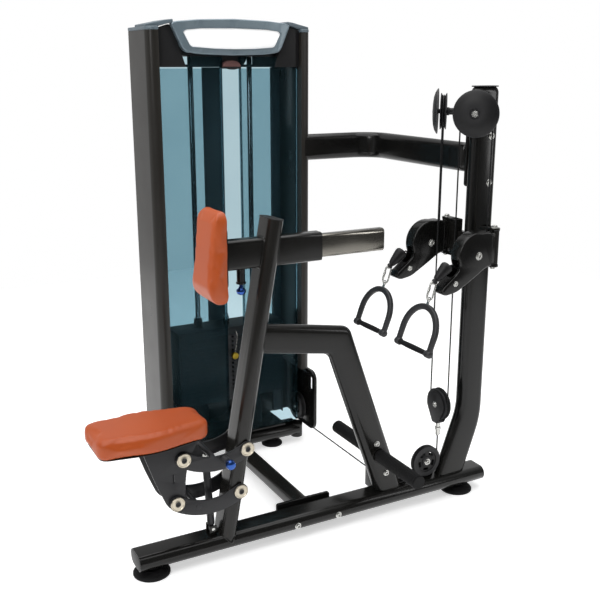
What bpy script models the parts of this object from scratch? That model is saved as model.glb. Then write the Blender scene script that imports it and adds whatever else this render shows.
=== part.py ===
"""Seated cable row: a chest-supported rowing machine with a weight tower, cable post and adjustable seat.

Metres, +Z up.  The frame is drawn with x along the base rail (0 at its seat end), y = 0 on the rail's
centre plane and z = 0 on the floor.  The empty frame_origin then shifts it so that the middle of the
machine's footprint lies on the world origin.
"""
import math

import bmesh
import bpy
from mathutils import Matrix, Vector

# ---- driving dimensions -------------------------------------------------------------------------
FOOTPRINT_MID = (0.5860, 0.2740)     # middle of the machine box, in the drawing frame
GAP = 0.0003                         # gap between faces that touch

TUBE_WIDE = 0.096                    # flat-oval frame tube
TUBE_THIN = 0.050
TUBE_WALL = 0.003
EDGE_ROUND = 0.022

RAIL_LENGTH = 1.290
RAIL_Z = 0.055                       # middle of the base rail
RAIL_TOP = RAIL_Z + TUBE_THIN / 2

COLUMN_FOOT_X = 0.291                # seat column meets the rail here
COLUMN_LEAN = math.radians(10.0)
COLUMN_LENGTH = 0.987

PAD_Z = 0.9555                       # axis of the sliding chest-pad tube
SLEEVE_SPAN = (0.312, 0.622)
SLEEVE_SIZE = (0.050, 0.088)         # width in y, height in z
PAD_TUBE_SPAN = (0.300, 0.849)
PAD_TUBE_SIZE = (0.038, 0.072)
PAD_PIN_X = 0.361

LEG_SLOPE = 0.3585                   # run over rise of the front leg
PEG_CENTRE = (0.848, 0.218)          # foot bar, x and z
PEG_RADIUS = 0.023
PEG_REACH = 0.252                    # half length of the foot bar

POST_LEFT, POST_RIGHT = 1.190, 1.286
POST_TOP = 1.423

TOWER_MID_X = 0.617
TOWER_HALF = 0.309                   # half width of the weight tower
COLUMN_DEEP = (0.600, 0.800)         # side columns of the tower, in y
COLUMN_WIDE = 0.040
COLUMN_CORNER = 0.030
TOWER_TOP = 1.600
STACK_Y = 0.720                      # middle of the weight stack
ROD_OFFSET = 0.115
ROD_TOP = 1.516                      # guide rods end under the straps of the top channel
PLATE_SIZE = (0.434, 0.120)
PLATE_PITCH = 0.0176
STACK_BOTTOM = 0.225
PLATES_RESTING = 10
PLATES_LIFTED = 5

PULLEY_RADIUS = 0.056
PULLEY_WIDTH = 0.020
CABLE_ARC = 0.048                    # cable centre line on a pulley
CABLE_RADIUS = 0.0025
AXLE_RADIUS = 0.0075
BORE_RADIUS = 0.0085

LOW_PULLEY = (1.059, 0.0, 0.141)
CORNER_PULLEY = (0.953, 0.048, 0.093)
SIDE_PULLEY = (0.905, 0.672, 0.141)
RISER_PULLEY = (0.857, STACK_Y, 1.527)
DROP_PULLEY = (0.665, STACK_Y, 1.527)
FLOAT_PULLEY = (1.107, 0.0, 0.347)
FLOAT_STEM_BOTTOM = 0.229
TOP_PULLEY = (1.1395, 0.0855, 1.340)   # far side; the near one is its mirror image
TOP_ARC = 0.0511
TOP_AXIS = (-0.774, 0.633)             # direction of the far pulley's axle in plan, outwards
ARM_PULLEY = (1.124, 0.125, 0.899)
HINGE_X = 1.204                        # vertical pivot of the swivel arms
ARM_THICK = 0.050

LINK_COLUMN_PIVOTS = ((0.346, 0.365), (0.322, 0.230))   # upper and lower, x and z
LINK_REACH = (-0.204, 0.008)                            # from a column pivot to its seat pivot
LINK_Y = (0.0525, 0.0585)                               # link plates, inner and outer face
GAS_FOOT = (0.245, 0.100)
GAS_TOP = (0.231, 0.366)

SEAT_BOTTOM, SEAT_THICK = 0.4305, 0.0585
SEAT_TILT_EDGE = 0.012

# ---- materials ----------------------------------------------------------------------------------
FINISHES = {                          # base colour, roughness, metallic, alpha
    "gloss_black": ((0.012, 0.012, 0.013), 0.22, 0.0, 1.0),
    "satin_black": ((0.030, 0.030, 0.032), 0.45, 0.0, 1.0),
    "upholstery": ((0.45, 0.10, 0.025), 0.45, 0.0, 1.0),
    "rubber_black": ((0.015, 0.015, 0.015), 0.80, 0.0, 1.0),
    "chrome": ((0.60, 0.58, 0.54), 0.12, 1.0, 1.0),
    "zinc": ((0.65, 0.65, 0.64), 0.30, 1.0, 1.0),
    "blue_anodised": ((0.02, 0.09, 0.33), 0.25, 0.9, 1.0),
    "brass": ((0.45, 0.33, 0.08), 0.30, 1.0, 1.0),
    "cast_iron": ((0.035, 0.037, 0.040), 0.60, 0.3, 1.0),
    "teal_panel": ((0.10, 0.28, 0.33), 0.10, 0.0, 0.35),
    "silver_plastic": ((0.20, 0.25, 0.28), 0.35, 0.2, 1.0),
}


def finish_material(name):
    """The Principled material of one finish, made once."""
    found = bpy.data.materials.get(name)
    if found:
        return found
    colour, roughness, metallic, alpha = FINISHES[name]
    made = bpy.data.materials.new(name)
    made.use_nodes = True
    shader = made.node_tree.nodes["Principled BSDF"]
    shader.inputs["Base Color"].default_value = (*colour, 1.0)
    shader.inputs["Roughness"].default_value = roughness
    shader.inputs["Metallic"].default_value = metallic
    shader.inputs["Alpha"].default_value = alpha
    return made


# ---- scene and shared helpers -------------------------------------------------------------------
for old in list(bpy.data.objects):
    bpy.data.objects.remove(old, do_unlink=True)

PARTS = bpy.data.collections.new("seated_cable_row")
CUTTERS = bpy.data.collections.new("cutters")
bpy.context.scene.collection.children.link(PARTS)
bpy.context.scene.collection.children.link(CUTTERS)

ORIGIN = bpy.data.objects.new("frame_origin", None)
ORIGIN.location = (-FOOTPRINT_MID[0], -FOOTPRINT_MID[1], 0)
PARTS.objects.link(ORIGIN)


def link_helper(thing):
    """Keep a construction solid out of the model: wire display, no render."""
    CUTTERS.objects.link(thing)
    thing.parent = ORIGIN
    thing.hide_render = True
    thing.display_type = "WIRE"
    return thing


def rehome(thing, pivot):
    """Move an object's origin to a point, leaving its surface where it is."""
    matrix = thing.matrix_basis.copy()
    shift = Matrix.Translation(Vector(pivot))
    thing.data.transform(shift.inverted() @ matrix)
    thing.matrix_basis = shift


def piece(thing, name, finish, pivot=None):
    """Name a finished sub-part, give it its material and put it in the model."""
    thing.name = name
    thing.data.name = name
    thing.data.materials.clear()
    thing.data.materials.append(finish_material(finish))
    for collection in list(thing.users_collection):
        collection.objects.unlink(thing)
    PARTS.objects.link(thing)
    thing.parent = ORIGIN
    thing.hide_render = False
    thing.display_type = "TEXTURED"
    if pivot is not None:
        rehome(thing, pivot)
    return thing


def object_from_bmesh(mesh_edit, name="solid"):
    mesh = bpy.data.meshes.new(name)
    bmesh.ops.recalc_face_normals(mesh_edit, faces=mesh_edit.faces)
    mesh_edit.to_mesh(mesh)
    mesh_edit.free()
    made = bpy.data.objects.new(name, mesh)
    return link_helper(made)


def box(low, high):
    """A block between two corners."""
    mesh_edit = bmesh.new()
    bmesh.ops.create_cube(mesh_edit, size=1.0)
    size = Vector(high) - Vector(low)
    bmesh.ops.scale(mesh_edit, vec=size, verts=mesh_edit.verts)
    bmesh.ops.translate(mesh_edit, vec=(Vector(high) + Vector(low)) / 2, verts=mesh_edit.verts)
    return object_from_bmesh(mesh_edit)


def rod(start, end, radius, sides=20):
    """A round bar between two points."""
    mesh_edit = bmesh.new()
    run = Vector(end) - Vector(start)
    bmesh.ops.create_cone(mesh_edit, cap_ends=True, segments=sides, radius1=radius, radius2=radius,
                          depth=run.length)
    turn = Vector((0, 0, 1)).rotation_difference(run).to_matrix().to_4x4()
    place = Matrix.Translation((Vector(start) + Vector(end)) / 2) @ turn
    bmesh.ops.transform(mesh_edit, matrix=place, verts=mesh_edit.verts)
    for face in mesh_edit.faces:
        face.smooth = len(face.verts) == 4
    return object_from_bmesh(mesh_edit)


def turned(profile, place, direction, sides=28):
    """A turned solid.  profile: (radius, height) down the outer side, closed on the axis by the caller."""
    mesh = bpy.data.meshes.new("turned")
    mesh.from_pydata([(r, 0, h) for r, h in profile], [(i, i + 1) for i in range(len(profile) - 1)], [])
    made = link_helper(bpy.data.objects.new("turned", mesh))
    screw = made.modifiers.new("Screw", "SCREW")
    screw.steps = sides
    screw.render_steps = sides
    screw.use_merge_vertices = True
    screw.merge_threshold = 0.00001
    screw.use_smooth_shade = True
    turn = Vector((0, 0, 1)).rotation_difference(Vector(direction)).to_matrix().to_4x4()
    made.matrix_basis = Matrix.Translation(Vector(place)) @ turn
    return bake(made)


def ring(profile, place, direction, sides=28):
    """A turned solid with a hole: the profile is a closed loop away from the axis."""
    return turned(profile + [profile[0]], place, direction, sides)


def bake(thing):
    """Turn a curve or an object with modifiers into a plain welded mesh at the same place."""
    bpy.context.view_layer.update()
    evaluated = thing.evaluated_get(bpy.context.evaluated_depsgraph_get())
    mesh = bpy.data.meshes.new_from_object(evaluated)
    mesh_edit = bmesh.new()
    mesh_edit.from_mesh(mesh)
    bmesh.ops.remove_doubles(mesh_edit, verts=mesh_edit.verts, dist=0.00001)
    bmesh.ops.recalc_face_normals(mesh_edit, faces=mesh_edit.faces)
    mesh_edit.to_mesh(mesh)
    mesh_edit.free()
    made = bpy.data.objects.new("baked", mesh)
    made.matrix_basis = thing.matrix_basis.copy()
    bpy.data.objects.remove(thing, do_unlink=True)
    return link_helper(made)


PLANES = {                            # turn a flat drawing into its plane: normal axis of the drawing
    "y": Matrix(((1, 0, 0, 0), (0, 0, -1, 0), (0, 1, 0, 0), (0, 0, 0, 1))),
    "x": Matrix(((0, 0, 1, 0), (1, 0, 0, 0), (0, 1, 0, 0), (0, 0, 0, 1))),
    "z": Matrix.Identity(4),
}


def plate(loops, normal, low, high):
    """A flat outline, with holes as further loops, extruded from low to high along its normal axis."""
    curve = bpy.data.curves.new("outline", "CURVE")
    curve.dimensions = "2D"
    curve.fill_mode = "BOTH"
    curve.extrude = (high - low) / 2
    for loop in loops:
        spline = curve.splines.new("POLY")
        spline.points.add(len(loop) - 1)
        for point, (a, b) in zip(spline.points, loop):
            point.co = (a, b, 0, 1)
        spline.use_cyclic_u = True
    made = link_helper(bpy.data.objects.new("outline", curve))
    middle = (low + high) / 2
    offset = {"x": (middle, 0, 0), "y": (0, middle, 0), "z": (0, 0, middle)}[normal]
    made.matrix_basis = Matrix.Translation(offset) @ PLANES[normal]
    return bake(made)


def arc(centre, radius, start, end, steps=6):
    """Points on an arc, angles in degrees."""
    points = []
    for i in range(steps + 1):
        angle = math.radians(start + (end - start) * i / steps)
        points.append((centre[0] + radius * math.cos(angle), centre[1] + radius * math.sin(angle)))
    return points


def rounded_rectangle(low, high, radius, steps=4):
    (a0, b0), (a1, b1) = low, high
    r = radius
    return (arc((a1 - r, b1 - r), r, 0, 90, steps) + arc((a0 + r, b1 - r), r, 90, 180, steps)
            + arc((a0 + r, b0 + r), r, 180, 270, steps) + arc((a1 - r, b0 + r), r, 270, 360, steps))


def stadium(wide, thin, steps=8):
    """Flat-oval section, long side on the first axis."""
    r = thin / 2
    c = wide / 2 - r
    return arc((c, 0), r, -90, 90, steps) + arc((-c, 0), r, 90, 270, steps)


def shifted(points, a, b):
    return [(p + a, q + b) for p, q in points]


def swapped(points):
    return [(q, p) for p, q in reversed(points)]


def cut(thing, cutter):
    modifier = thing.modifiers.new("cut", "BOOLEAN")
    modifier.operation = "DIFFERENCE"
    modifier.solver = "EXACT"
    modifier.object = cutter
    return thing


def join(thing, *others):
    for other in others:
        modifier = thing.modifiers.new("join", "BOOLEAN")
        modifier.operation = "UNION"
        modifier.solver = "EXACT"
        modifier.object = other
    return thing


def settled(thing):
    """Apply an object's Booleans and weld the result."""
    return bake(thing)


def round_long_edges(thing, along, radius=EDGE_ROUND, segments=3):
    """Round the edges of an extruded outline, except those that run along its extrusion axis."""
    axis = "xyz".index(along)
    mesh = thing.data
    weights = mesh.attributes.new("bevel_weight_edge", "FLOAT", "EDGE")
    matrix = thing.matrix_basis
    for edge in mesh.edges:
        a, b = (matrix @ mesh.vertices[v].co for v in edge.vertices)
        run = b - a
        flat = abs(run[axis]) < 0.5 * run.length
        shared = [p for p in mesh.polygons if set(edge.vertices) <= set(p.vertices)]
        creased = len(shared) == 2 and shared[0].normal.dot(shared[1].normal) < 0.5
        weights.data[edge.index].value = 1.0 if flat and creased else 0.0
    bevel = thing.modifiers.new("Bevel", "BEVEL")
    bevel.limit_method = "WEIGHT"
    bevel.width = radius
    bevel.segments = segments
    return bake(thing)


def cable(points, name, radius=CABLE_RADIUS):
    """A round cable along a list of points."""
    curve = bpy.data.curves.new(name, "CURVE")
    curve.dimensions = "3D"
    curve.bevel_depth = radius
    curve.bevel_resolution = 2
    curve.use_fill_caps = True
    spline = curve.splines.new("POLY")
    spline.points.add(len(points) - 1)
    for point, co in zip(spline.points, points):
        point.co = (*co, 1)
    made = link_helper(bpy.data.objects.new(name, curve))
    return bake(made)


def mirrored_y(point):
    return (point[0], -point[1], point[2])


def rail_cutter():
    outline = stadium(TUBE_WIDE + 2 * GAP, TUBE_THIN + 2 * GAP)
    return plate([shifted(outline, 0, RAIL_Z)], "x", -0.05, RAIL_LENGTH + 0.05)


# ---- base ---------------------------------------------------------------------------------------
def base_rail():
    outer = shifted(stadium(TUBE_WIDE, TUBE_THIN), 0, RAIL_Z)
    inner = shifted(stadium(TUBE_WIDE - 2 * TUBE_WALL, TUBE_THIN - 2 * TUBE_WALL), 0, RAIL_Z)
    rail = plate([outer, inner], "x", 0, RAIL_LENGTH)
    lug_low, lug_high = GAS_FOOT[0] - 0.012, GAS_FOOT[0] + 0.012
    for side in (-1, 1):
        y0, y1 = sorted((side * 0.0125, side * 0.0165))
        lug = box((lug_low, y0, RAIL_TOP - 0.002), (lug_high, y1, GAS_FOOT[1] + 0.011))
        join(rail, lug)
    join(rail, low_pulley_bracket(), corner_pulley_bracket())
    return piece(settled(rail), "base_rail", "gloss_black")


def foot(name, x, y, radius):
    profile = [(0, 0.030 - GAP), (0.020, 0.030 - GAP), (0.022, 0.021), (radius * 0.70, 0.018),
               (radius * 0.95, 0.008), (radius, 0.004), (radius, 0), (0, 0)]
    return piece(turned(profile, (x, y, 0), (0, 0, 1)), name, "rubber_black")


def side_beam():
    """Beam from the tower's base to the rail, with the flange that is bolted to the rail."""
    beam = plate([rounded_rectangle((0.567, 0.0305), (0.627, 0.0795), 0.018)], "y", 0.0570, 0.640)
    flange = box((0.497, TUBE_WIDE / 2 + GAP, 0.032), (0.697, 0.0580, 0.088))
    join(beam, flange)
    return settled(beam)


# ---- seat column and chest pad ------------------------------------------------------------------
def column_point(z):
    """x of the seat column's centre line at a height."""
    return COLUMN_FOOT_X + (z - RAIL_TOP) * math.tan(COLUMN_LEAN)


def column_solid(grow, start=-0.020, length=COLUMN_LENGTH):
    outline = swapped(stadium(TUBE_WIDE + 2 * grow, TUBE_THIN + 2 * grow))
    solid = plate([outline], "z", start, length)
    solid.matrix_basis = (Matrix.Translation((COLUMN_FOOT_X, 0, RAIL_TOP))
                          @ Matrix.Rotation(COLUMN_LEAN, 4, "Y") @ solid.matrix_basis)
    return solid


def sleeve_outline(grow):
    wide, high = SLEEVE_SIZE
    return rounded_rectangle((-wide / 2 - grow, PAD_Z - high / 2 - grow),
                             (wide / 2 + grow, PAD_Z + high / 2 + grow), 0.012 + grow)


def seat_column():
    """Leaning tube with the sleeve of the chest pad welded through it, and the seat's pivot pins."""
    wide, high = SLEEVE_SIZE
    under = PAD_Z - high / 2
    column = column_solid(0)
    cut(column, rail_cutter())
    join(column, plate([sleeve_outline(0)], "x", *SLEEVE_SPAN))
    join(column, rod((PAD_PIN_X, 0, under - 0.046), (PAD_PIN_X, 0, under + 0.002), 0.0125))
    hole = rounded_rectangle((-wide / 2 + 0.004, PAD_Z - high / 2 + 0.004),
                             (wide / 2 - 0.004, PAD_Z + high / 2 - 0.004), 0.010)
    cut(column, plate([hole], "x", SLEEVE_SPAN[0] - 0.05, SLEEVE_SPAN[1] + 0.05))
    cut(column, rod((PAD_PIN_X, 0, under - 0.050), (PAD_PIN_X, 0, under + 0.006), 0.0055))
    for x, z in LINK_COLUMN_PIVOTS:
        join(column, link_pin(x, z))
    return piece(settled(column), "seat_column", "gloss_black")


def pad_tube():
    wide, high = PAD_TUBE_SIZE
    outer = rounded_rectangle((-wide / 2, PAD_Z - high / 2), (wide / 2, PAD_Z + high / 2), 0.012)
    inner = rounded_rectangle((-wide / 2 + 0.0025, PAD_Z - high / 2 + 0.0025),
                              (wide / 2 - 0.0025, PAD_Z + high / 2 - 0.0025), 0.0095)
    tube = plate([outer, inner], "x", *PAD_TUBE_SPAN)
    back = box((PAD_TUBE_SPAN[0] - 0.006, -0.050, PAD_Z - 0.085), (PAD_TUBE_SPAN[0] + 0.001, 0.050, PAD_Z + 0.085))
    join(tube, back)
    return piece(settled(tube), "pad_tube", "chrome", (PAD_TUBE_SPAN[0], 0, PAD_Z))


def chest_pad():
    """Upright cushion, thicker low down, with rounded corners."""
    x_back = PAD_TUBE_SPAN[0] - 0.006 - GAP
    profile = [(x_back, 0.822), (x_back, 1.092), (0.268, 1.098), (0.254, 1.082),
               (0.231, 0.862), (0.236, 0.838), (0.262, 0.818)]
    pad = plate([profile], "y", -0.073, 0.073)
    corner = 0.030
    face = rounded_rectangle((-0.073, 0.817), (0.073, 1.099), corner)
    keep = plate([face], "x", 0.20, 0.32)
    modifier = pad.modifiers.new("corners", "BOOLEAN")
    modifier.operation = "INTERSECT"
    modifier.object = keep
    return piece(settled(pad), "chest_pad", "upholstery", (x_back, 0, PAD_Z))


def pull_pin(name, knob_end, tip, shaft, knob, pivot, finish="blue_anodised"):
    """A spring pin: round knob, waist and shaft on one axis."""
    run = Vector(tip) - Vector(knob_end)
    length = run.length
    profile = [(0, length), (shaft, length), (shaft, knob * 1.9), (knob * 0.6, knob * 1.7),
               (knob * 0.6, knob * 1.3), (knob, knob * 0.9), (knob, knob * 0.3), (knob * 0.8, 0), (0, 0)]
    pin = turned(profile, knob_end, run, 20)
    return piece(pin, name, finish, pivot)


def pad_pin():
    under = PAD_Z - SLEEVE_SIZE[1] / 2
    return pull_pin("pad_pin", (PAD_PIN_X, 0, 0.832), (PAD_PIN_X, 0, under + 0.005), 0.0048, 0.014,
                    (PAD_PIN_X, 0, 0.850))


# ---- front leg, foot bar, post ------------------------------------------------------------------
def front_frame():
    outline = [(0.400, 0.7388), (0.732, 0.6837), (0.9574, 0.040), (0.8554, 0.040), (0.6591, 0.6025),
               (0.400, 0.6455)]
    frame = round_long_edges(plate([outline], "y", -TUBE_THIN / 2, TUBE_THIN / 2), "y")
    cut(frame, rail_cutter())
    cut(frame, column_solid(GAP, -0.05, 1.1))
    cut(frame, rod((PEG_CENTRE[0], -0.06, PEG_CENTRE[1]), (PEG_CENTRE[0], 0.06, PEG_CENTRE[1]), 0.0125))
    cut(frame, box((0.880, -0.012, RAIL_TOP - 0.01), (0.990, 0.040, 0.108)))
    return piece(settled(frame), "front_frame", "gloss_black")


def foot_bar():
    half = TUBE_THIN / 2 + 0.0006
    profile = [(0, PEG_REACH), (PEG_RADIUS - 0.002, PEG_REACH), (PEG_RADIUS, PEG_REACH - 0.002),
               (PEG_RADIUS, half), (0.0115, half), (0.0115, -half), (PEG_RADIUS, -half),
               (PEG_RADIUS, -PEG_REACH + 0.002), (PEG_RADIUS - 0.002, -PEG_REACH), (0, -PEG_REACH)]
    bar = turned(profile, (PEG_CENTRE[0], 0, PEG_CENTRE[1]), (0, 1, 0), 24)
    return piece(bar, "foot_bar", "rubber_black")


def cable_post():
    outline = [(POST_LEFT, POST_TOP), (POST_RIGHT, POST_TOP), (POST_RIGHT, 0.300), (1.283, 0.262),
               (1.270, 0.226), (1.207, 0.040), (1.092, 0.040), (1.174, 0.250), (1.185, 0.283),
               (POST_LEFT, 0.320)]
    post = round_long_edges(plate([list(reversed(outline))], "y", -TUBE_THIN / 2, TUBE_THIN / 2), "y")
    cut(post, rail_cutter())
    cut(post, box((1.1997, -0.06, 0.8897), (1.2263, 0.06, 0.9403)))
    return piece(settled(post), "cable_post", "gloss_black")


def cross_brace():
    bend = (1.120, 0.530)
    outline = ([(0.893, 0.600), (bend[0], 0.600)] + arc(bend, 0.070, 90, 0)[1:] + [(1.190, 0.032)]
               + [(1.240, 0.032)] + arc(bend, 0.120, 0, 90) + [(0.893, 0.650)])
    brace = plate([outline], "z", 1.142, 1.238)
    brace = round_long_edges(brace, "z", 0.018)
    outer_x, r = TOWER_MID_X + TOWER_HALF, COLUMN_CORNER
    column = ([(0.800, COLUMN_DEEP[0] - GAP)] + arc((outer_x - r, COLUMN_DEEP[0] + r), r + GAP, 270, 360, 8)
              + [(outer_x + GAP, 0.810), (0.800, 0.810)])
    cut(brace, plate([column], "z", 1.000, 1.400))
    join(brace, box((1.196, TUBE_THIN / 2 + GAP, 1.095), (1.280, 0.0345, 1.285)))
    return piece(settled(brace), "cross_brace", "gloss_black")


def swivel_crossbar():
    """Bar through the post with a clevis at each end for the swivel arms."""
    bar = box((1.200, -0.098, 0.890), (1.226, 0.098, 0.940))
    for side in (-1, 1):
        y = side * ARM_PULLEY[1]
        low, high = sorted((side * 0.060, side * 0.100))
        join(bar, box((1.1925, low, 0.8525), (1.2225, high, 0.9795)))
        for z in (0.8520, 0.9715):
            tongue = rounded_rectangle((1.188, min(side * 0.058, y + side * 0.018)),
                                       (1.2205, max(side * 0.058, y + side * 0.018)), 0.014)
            join(bar, plate([tongue], "z", z, z + 0.008))
        join(bar, rod((HINGE_X, y, 0.844), (HINGE_X, y, 0.988), 0.0065))
    return piece(settled(bar), "swivel_crossbar", "gloss_black")


def swivel_arm(name, side):
    """Plate arm around a pulley, on a vertical hinge, with a nose that steadies the cable stop."""
    cx, cy, cz = ARM_PULLEY
    y = side * cy
    outline = ([(1.180, 0.965), (1.165, 0.974)] + arc((cx, cz), 0.075, 82, 200, 9)
               + [(1.046, 0.848), (0.988, 0.803), (0.986, 0.790), (1.004, 0.782), (1.045, 0.789)]
               + [(1.157, 0.858), (1.180, 0.862)])
    arm = plate([outline], "y", y - ARM_THICK / 2, y + ARM_THICK / 2)
    join(arm, box((1.172, y - 0.014, 0.866), (1.202, y + 0.014, 0.966)))
    join(arm, rod((HINGE_X, y, 0.8605), (HINGE_X, y, 0.9710), 0.0155))
    cut(arm, rod((HINGE_X, y, 0.850), (HINGE_X, y, 0.980), 0.0072))
    cut(arm, rod((cx, y - 0.013, cz), (cx, y + 0.013, cz), 0.0620, 32))
    cut(arm, box((1.162, y - 0.013, cz), (1.1795, y + 0.013, 0.990)))
    cut(arm, box((1.000, y - 0.013, 0.852), (1.090, y + 0.013, 0.892)))
    join(arm, rod((cx, y - 0.020, cz), (cx, y + 0.020, cz), AXLE_RADIUS))
    return piece(settled(arm), name, "gloss_black", (HINGE_X, y, cz))


# ---- pulleys ------------------------------------------------------------------------------------
def pulley(name, centre, direction, arc_radius=CABLE_ARC):
    """Grooved wheel on a plain bore."""
    outer = arc_radius + 0.008
    floor = arc_radius - 0.0035
    half = PULLEY_WIDTH / 2
    profile = [(BORE_RADIUS, half), (outer - 0.002, half), (outer, half - 0.002), (floor, 0.0018),
               (floor, -0.0018), (outer, -half + 0.002), (outer - 0.002, -half), (BORE_RADIUS, -half)]
    return piece(ring(profile, centre, direction, 28), name, "satin_black", centre)


def low_pulley_bracket():
    """Plate welded on the rail behind the pulley, with the pulley's axle."""
    x, y, z = LOW_PULLEY
    outline = ([(x - 0.045, RAIL_TOP - 0.0015), (x + 0.046, RAIL_TOP - 0.0015), (x + 0.044, z + 0.006)]
               + arc((x, z), 0.022, 20, 160, 6) + [(x - 0.030, z - 0.020)])
    bracket = plate([outline], "y", 0.0125, 0.0185)
    join(bracket, rod((x, -0.011, z), (x, 0.0155, z), AXLE_RADIUS))
    return settled(bracket)


def corner_pulley_bracket():
    """Angle plate over the pulley that turns the cable towards the tower."""
    x, y, z = CORNER_PULLEY
    cap = box((0.8605, 0.0262, 0.1045), (0.984, 0.080, 0.1105))
    join(cap, box((0.8600, 0.0262, 0.0600), (0.8660, 0.080, 0.168)))
    join(cap, rod((x, y, z - 0.009), (x, y, 0.107), AXLE_RADIUS))
    return settled(cap)


def side_pulley_bracket():
    x, y, z = SIDE_PULLEY
    outline = rounded_rectangle((0.556, 0.068), (0.760, 0.314), 0.030)
    slot = list(reversed(rounded_rectangle((0.585, 0.235), (0.600, 0.285), 0.006)))
    bracket = plate([outline, slot], "x", 0.9266, 0.9316)
    join(bracket, rod((x - 0.010, y, z), (0.929, y, z), AXLE_RADIUS))
    return piece(settled(bracket), "side_pulley_bracket", "gloss_black")


def top_axle(name, side):
    """Axle of a top pulley with its round guard, turned in one piece."""
    x, y, z = TOP_PULLEY
    direction = (TOP_AXIS[0], side * TOP_AXIS[1], 0)
    profile = [(0, 0.036), (0.030, 0.0345), (0.058, 0.029), (0.073, 0.020), (0.073, 0.0175),
               (0.058, 0.025), (0.020, 0.029), (0.014, 0.0115), (AXLE_RADIUS, 0.0115),
               (AXLE_RADIUS, -0.0115), (0.013, -0.0115), (0.011, -0.020), (0.011, -0.076), (0, -0.076)]
    return piece(turned(profile, (x, side * y, z), direction, 32), name, "satin_black")


def float_block():
    """Two cheeks, a neck and a threaded stem that carry the floating pulley."""
    x, y, z = FLOAT_PULLEY
    cheek = ([(-0.014, 0.278)] + [(0.014, 0.278)] + arc((0, z), 0.047, -50, 230, 18))
    block = plate([cheek], "x", x - 0.0165, x - 0.0125)
    join(block, plate([cheek], "x", x + 0.0125, x + 0.0165))
    join(block, box((x - 0.0160, -0.013, 0.2785), (x + 0.0160, 0.013, 0.2885)))
    join(block, rod((x, y, FLOAT_STEM_BOTTOM), (x, y, 0.284), 0.008))
    join(block, rod((x - 0.015, y, z), (x + 0.015, y, z), AXLE_RADIUS))
    return piece(settled(block), "float_block", "satin_black", FLOAT_PULLEY)


# ---- cables -------------------------------------------------------------------------------------
def vertical_arc(centre, toward, radius, start, end, steps=8):
    """Arc in the upright plane through centre that contains the horizontal direction toward."""
    points = []
    for i in range(steps + 1):
        angle = math.radians(start + (end - start) * i / steps)
        reach = radius * math.cos(angle)
        points.append((centre[0] + toward[0] * reach, centre[1] + toward[1] * reach,
                       centre[2] + radius * math.sin(angle)))
    return points


def handle_cable():
    """One cable from arm to arm: over each top pulley and under the floating pulley."""
    ax, ay, az = ARM_PULLEY
    half = [(1.034, ay, 0.8740), (1.060, ay, 0.8610), (1.090, ay, 0.8530)]
    half += vertical_arc((ax, ay, az), (1, 0), CABLE_ARC, -90, 0, 6)
    outward = Vector((-TOP_AXIS[1], TOP_AXIS[0])) * -1
    half += vertical_arc(TOP_PULLEY, outward, TOP_ARC, 0, 180, 12)
    half.append((1.107, 0.047, FLOAT_PULLEY[2] + 0.30))
    far = half + vertical_arc(FLOAT_PULLEY, (0, 1), CABLE_ARC, 0, -80, 6)
    near = [mirrored_y(p) for p in reversed(far)]
    route = far + [(FLOAT_PULLEY[0], 0, FLOAT_PULLEY[2] - CABLE_ARC)] + near
    return piece(cable(route, "handle_cable"), "handle_cable", "rubber_black")


def front_cable():
    """From the floating pulley's stem round the low, corner and side pulleys into the tower."""
    x, y, z = LOW_PULLEY
    route = [(x + CABLE_ARC, 0, FLOAT_STEM_BOTTOM - GAP)]
    route += vertical_arc(LOW_PULLEY, (1, 0), CABLE_ARC, 0, -90)
    corner_x, corner_y, level = CORNER_PULLEY
    for a, b in arc((corner_x, corner_y), CABLE_ARC, 270, 180, 8):
        route.append((a, b, level))
    route += vertical_arc(SIDE_PULLEY, (0, 1), CABLE_ARC, -90, 0)
    route.append((SIDE_PULLEY[0], STACK_Y, 0.3300))
    return piece(cable(route, "front_cable"), "front_cable", "rubber_black")


def stack_cable():
    """Up the tower's side, over its two top pulleys and down to the weight stack."""
    route = [(SIDE_PULLEY[0], STACK_Y, 0.3300 + GAP)]
    route += vertical_arc(RISER_PULLEY, (1, 0), CABLE_ARC, 0, 90)
    route += vertical_arc(DROP_PULLEY, (1, 0), CABLE_ARC, 90, 180)
    route.append((DROP_PULLEY[0] - CABLE_ARC, STACK_Y, 0.5600 + GAP))
    return piece(cable(route, "stack_cable"), "stack_cable", "rubber_black")


# ---- weight tower -------------------------------------------------------------------------------
def tower_base():
    middle = (0.665, RAIL_Z)
    outer = shifted(stadium(TUBE_WIDE, TUBE_THIN), *middle)
    base = plate([outer], "x", 0.345, 0.889)
    for x in (0.347, 0.887):
        join(base, rod((x, 0.645, 0.022), (x, 0.645, 0.0812), 0.024, 24))
    join(base, box((0.400, 0.640, 0.070), (0.834, 0.790, 0.0880)))
    join(base, box((0.3675, 0.7815, 0.0850), (0.8665, 0.7840, 0.2350)))      # dark kick plate behind the stack
    join(base, side_beam())
    return piece(settled(base), "tower_base", "gloss_black")


def side_column(name, side):
    """Hollow D-shaped column with a round front corner."""
    outer_x = TOWER_MID_X + side * TOWER_HALF
    inner_x = outer_x - side * COLUMN_WIDE
    y0, y1 = COLUMN_DEEP

    def section(inset):
        r = COLUMN_CORNER - inset
        corner = arc((outer_x - side * COLUMN_CORNER, y0 + COLUMN_CORNER), r, 270, 360 if side > 0 else 180, 8)
        points = [(inner_x + side * inset, y0 + inset)] + corner
        points += [(outer_x - side * inset, y1 - inset), (inner_x + side * inset, y1 - inset)]
        return points if side > 0 else list(reversed(points))

    column = plate([section(0), section(0.003)], "z", 0.0825, TOWER_TOP)
    if side > 0:
        cut(column, box((0.860, 0.590, 0.070), (0.940, 0.770, 0.320)))
        cut(column, box((0.800, 0.700, 1.430), (0.915, 0.740, 1.650)))
    return piece(settled(column), name, "satin_black")


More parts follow.
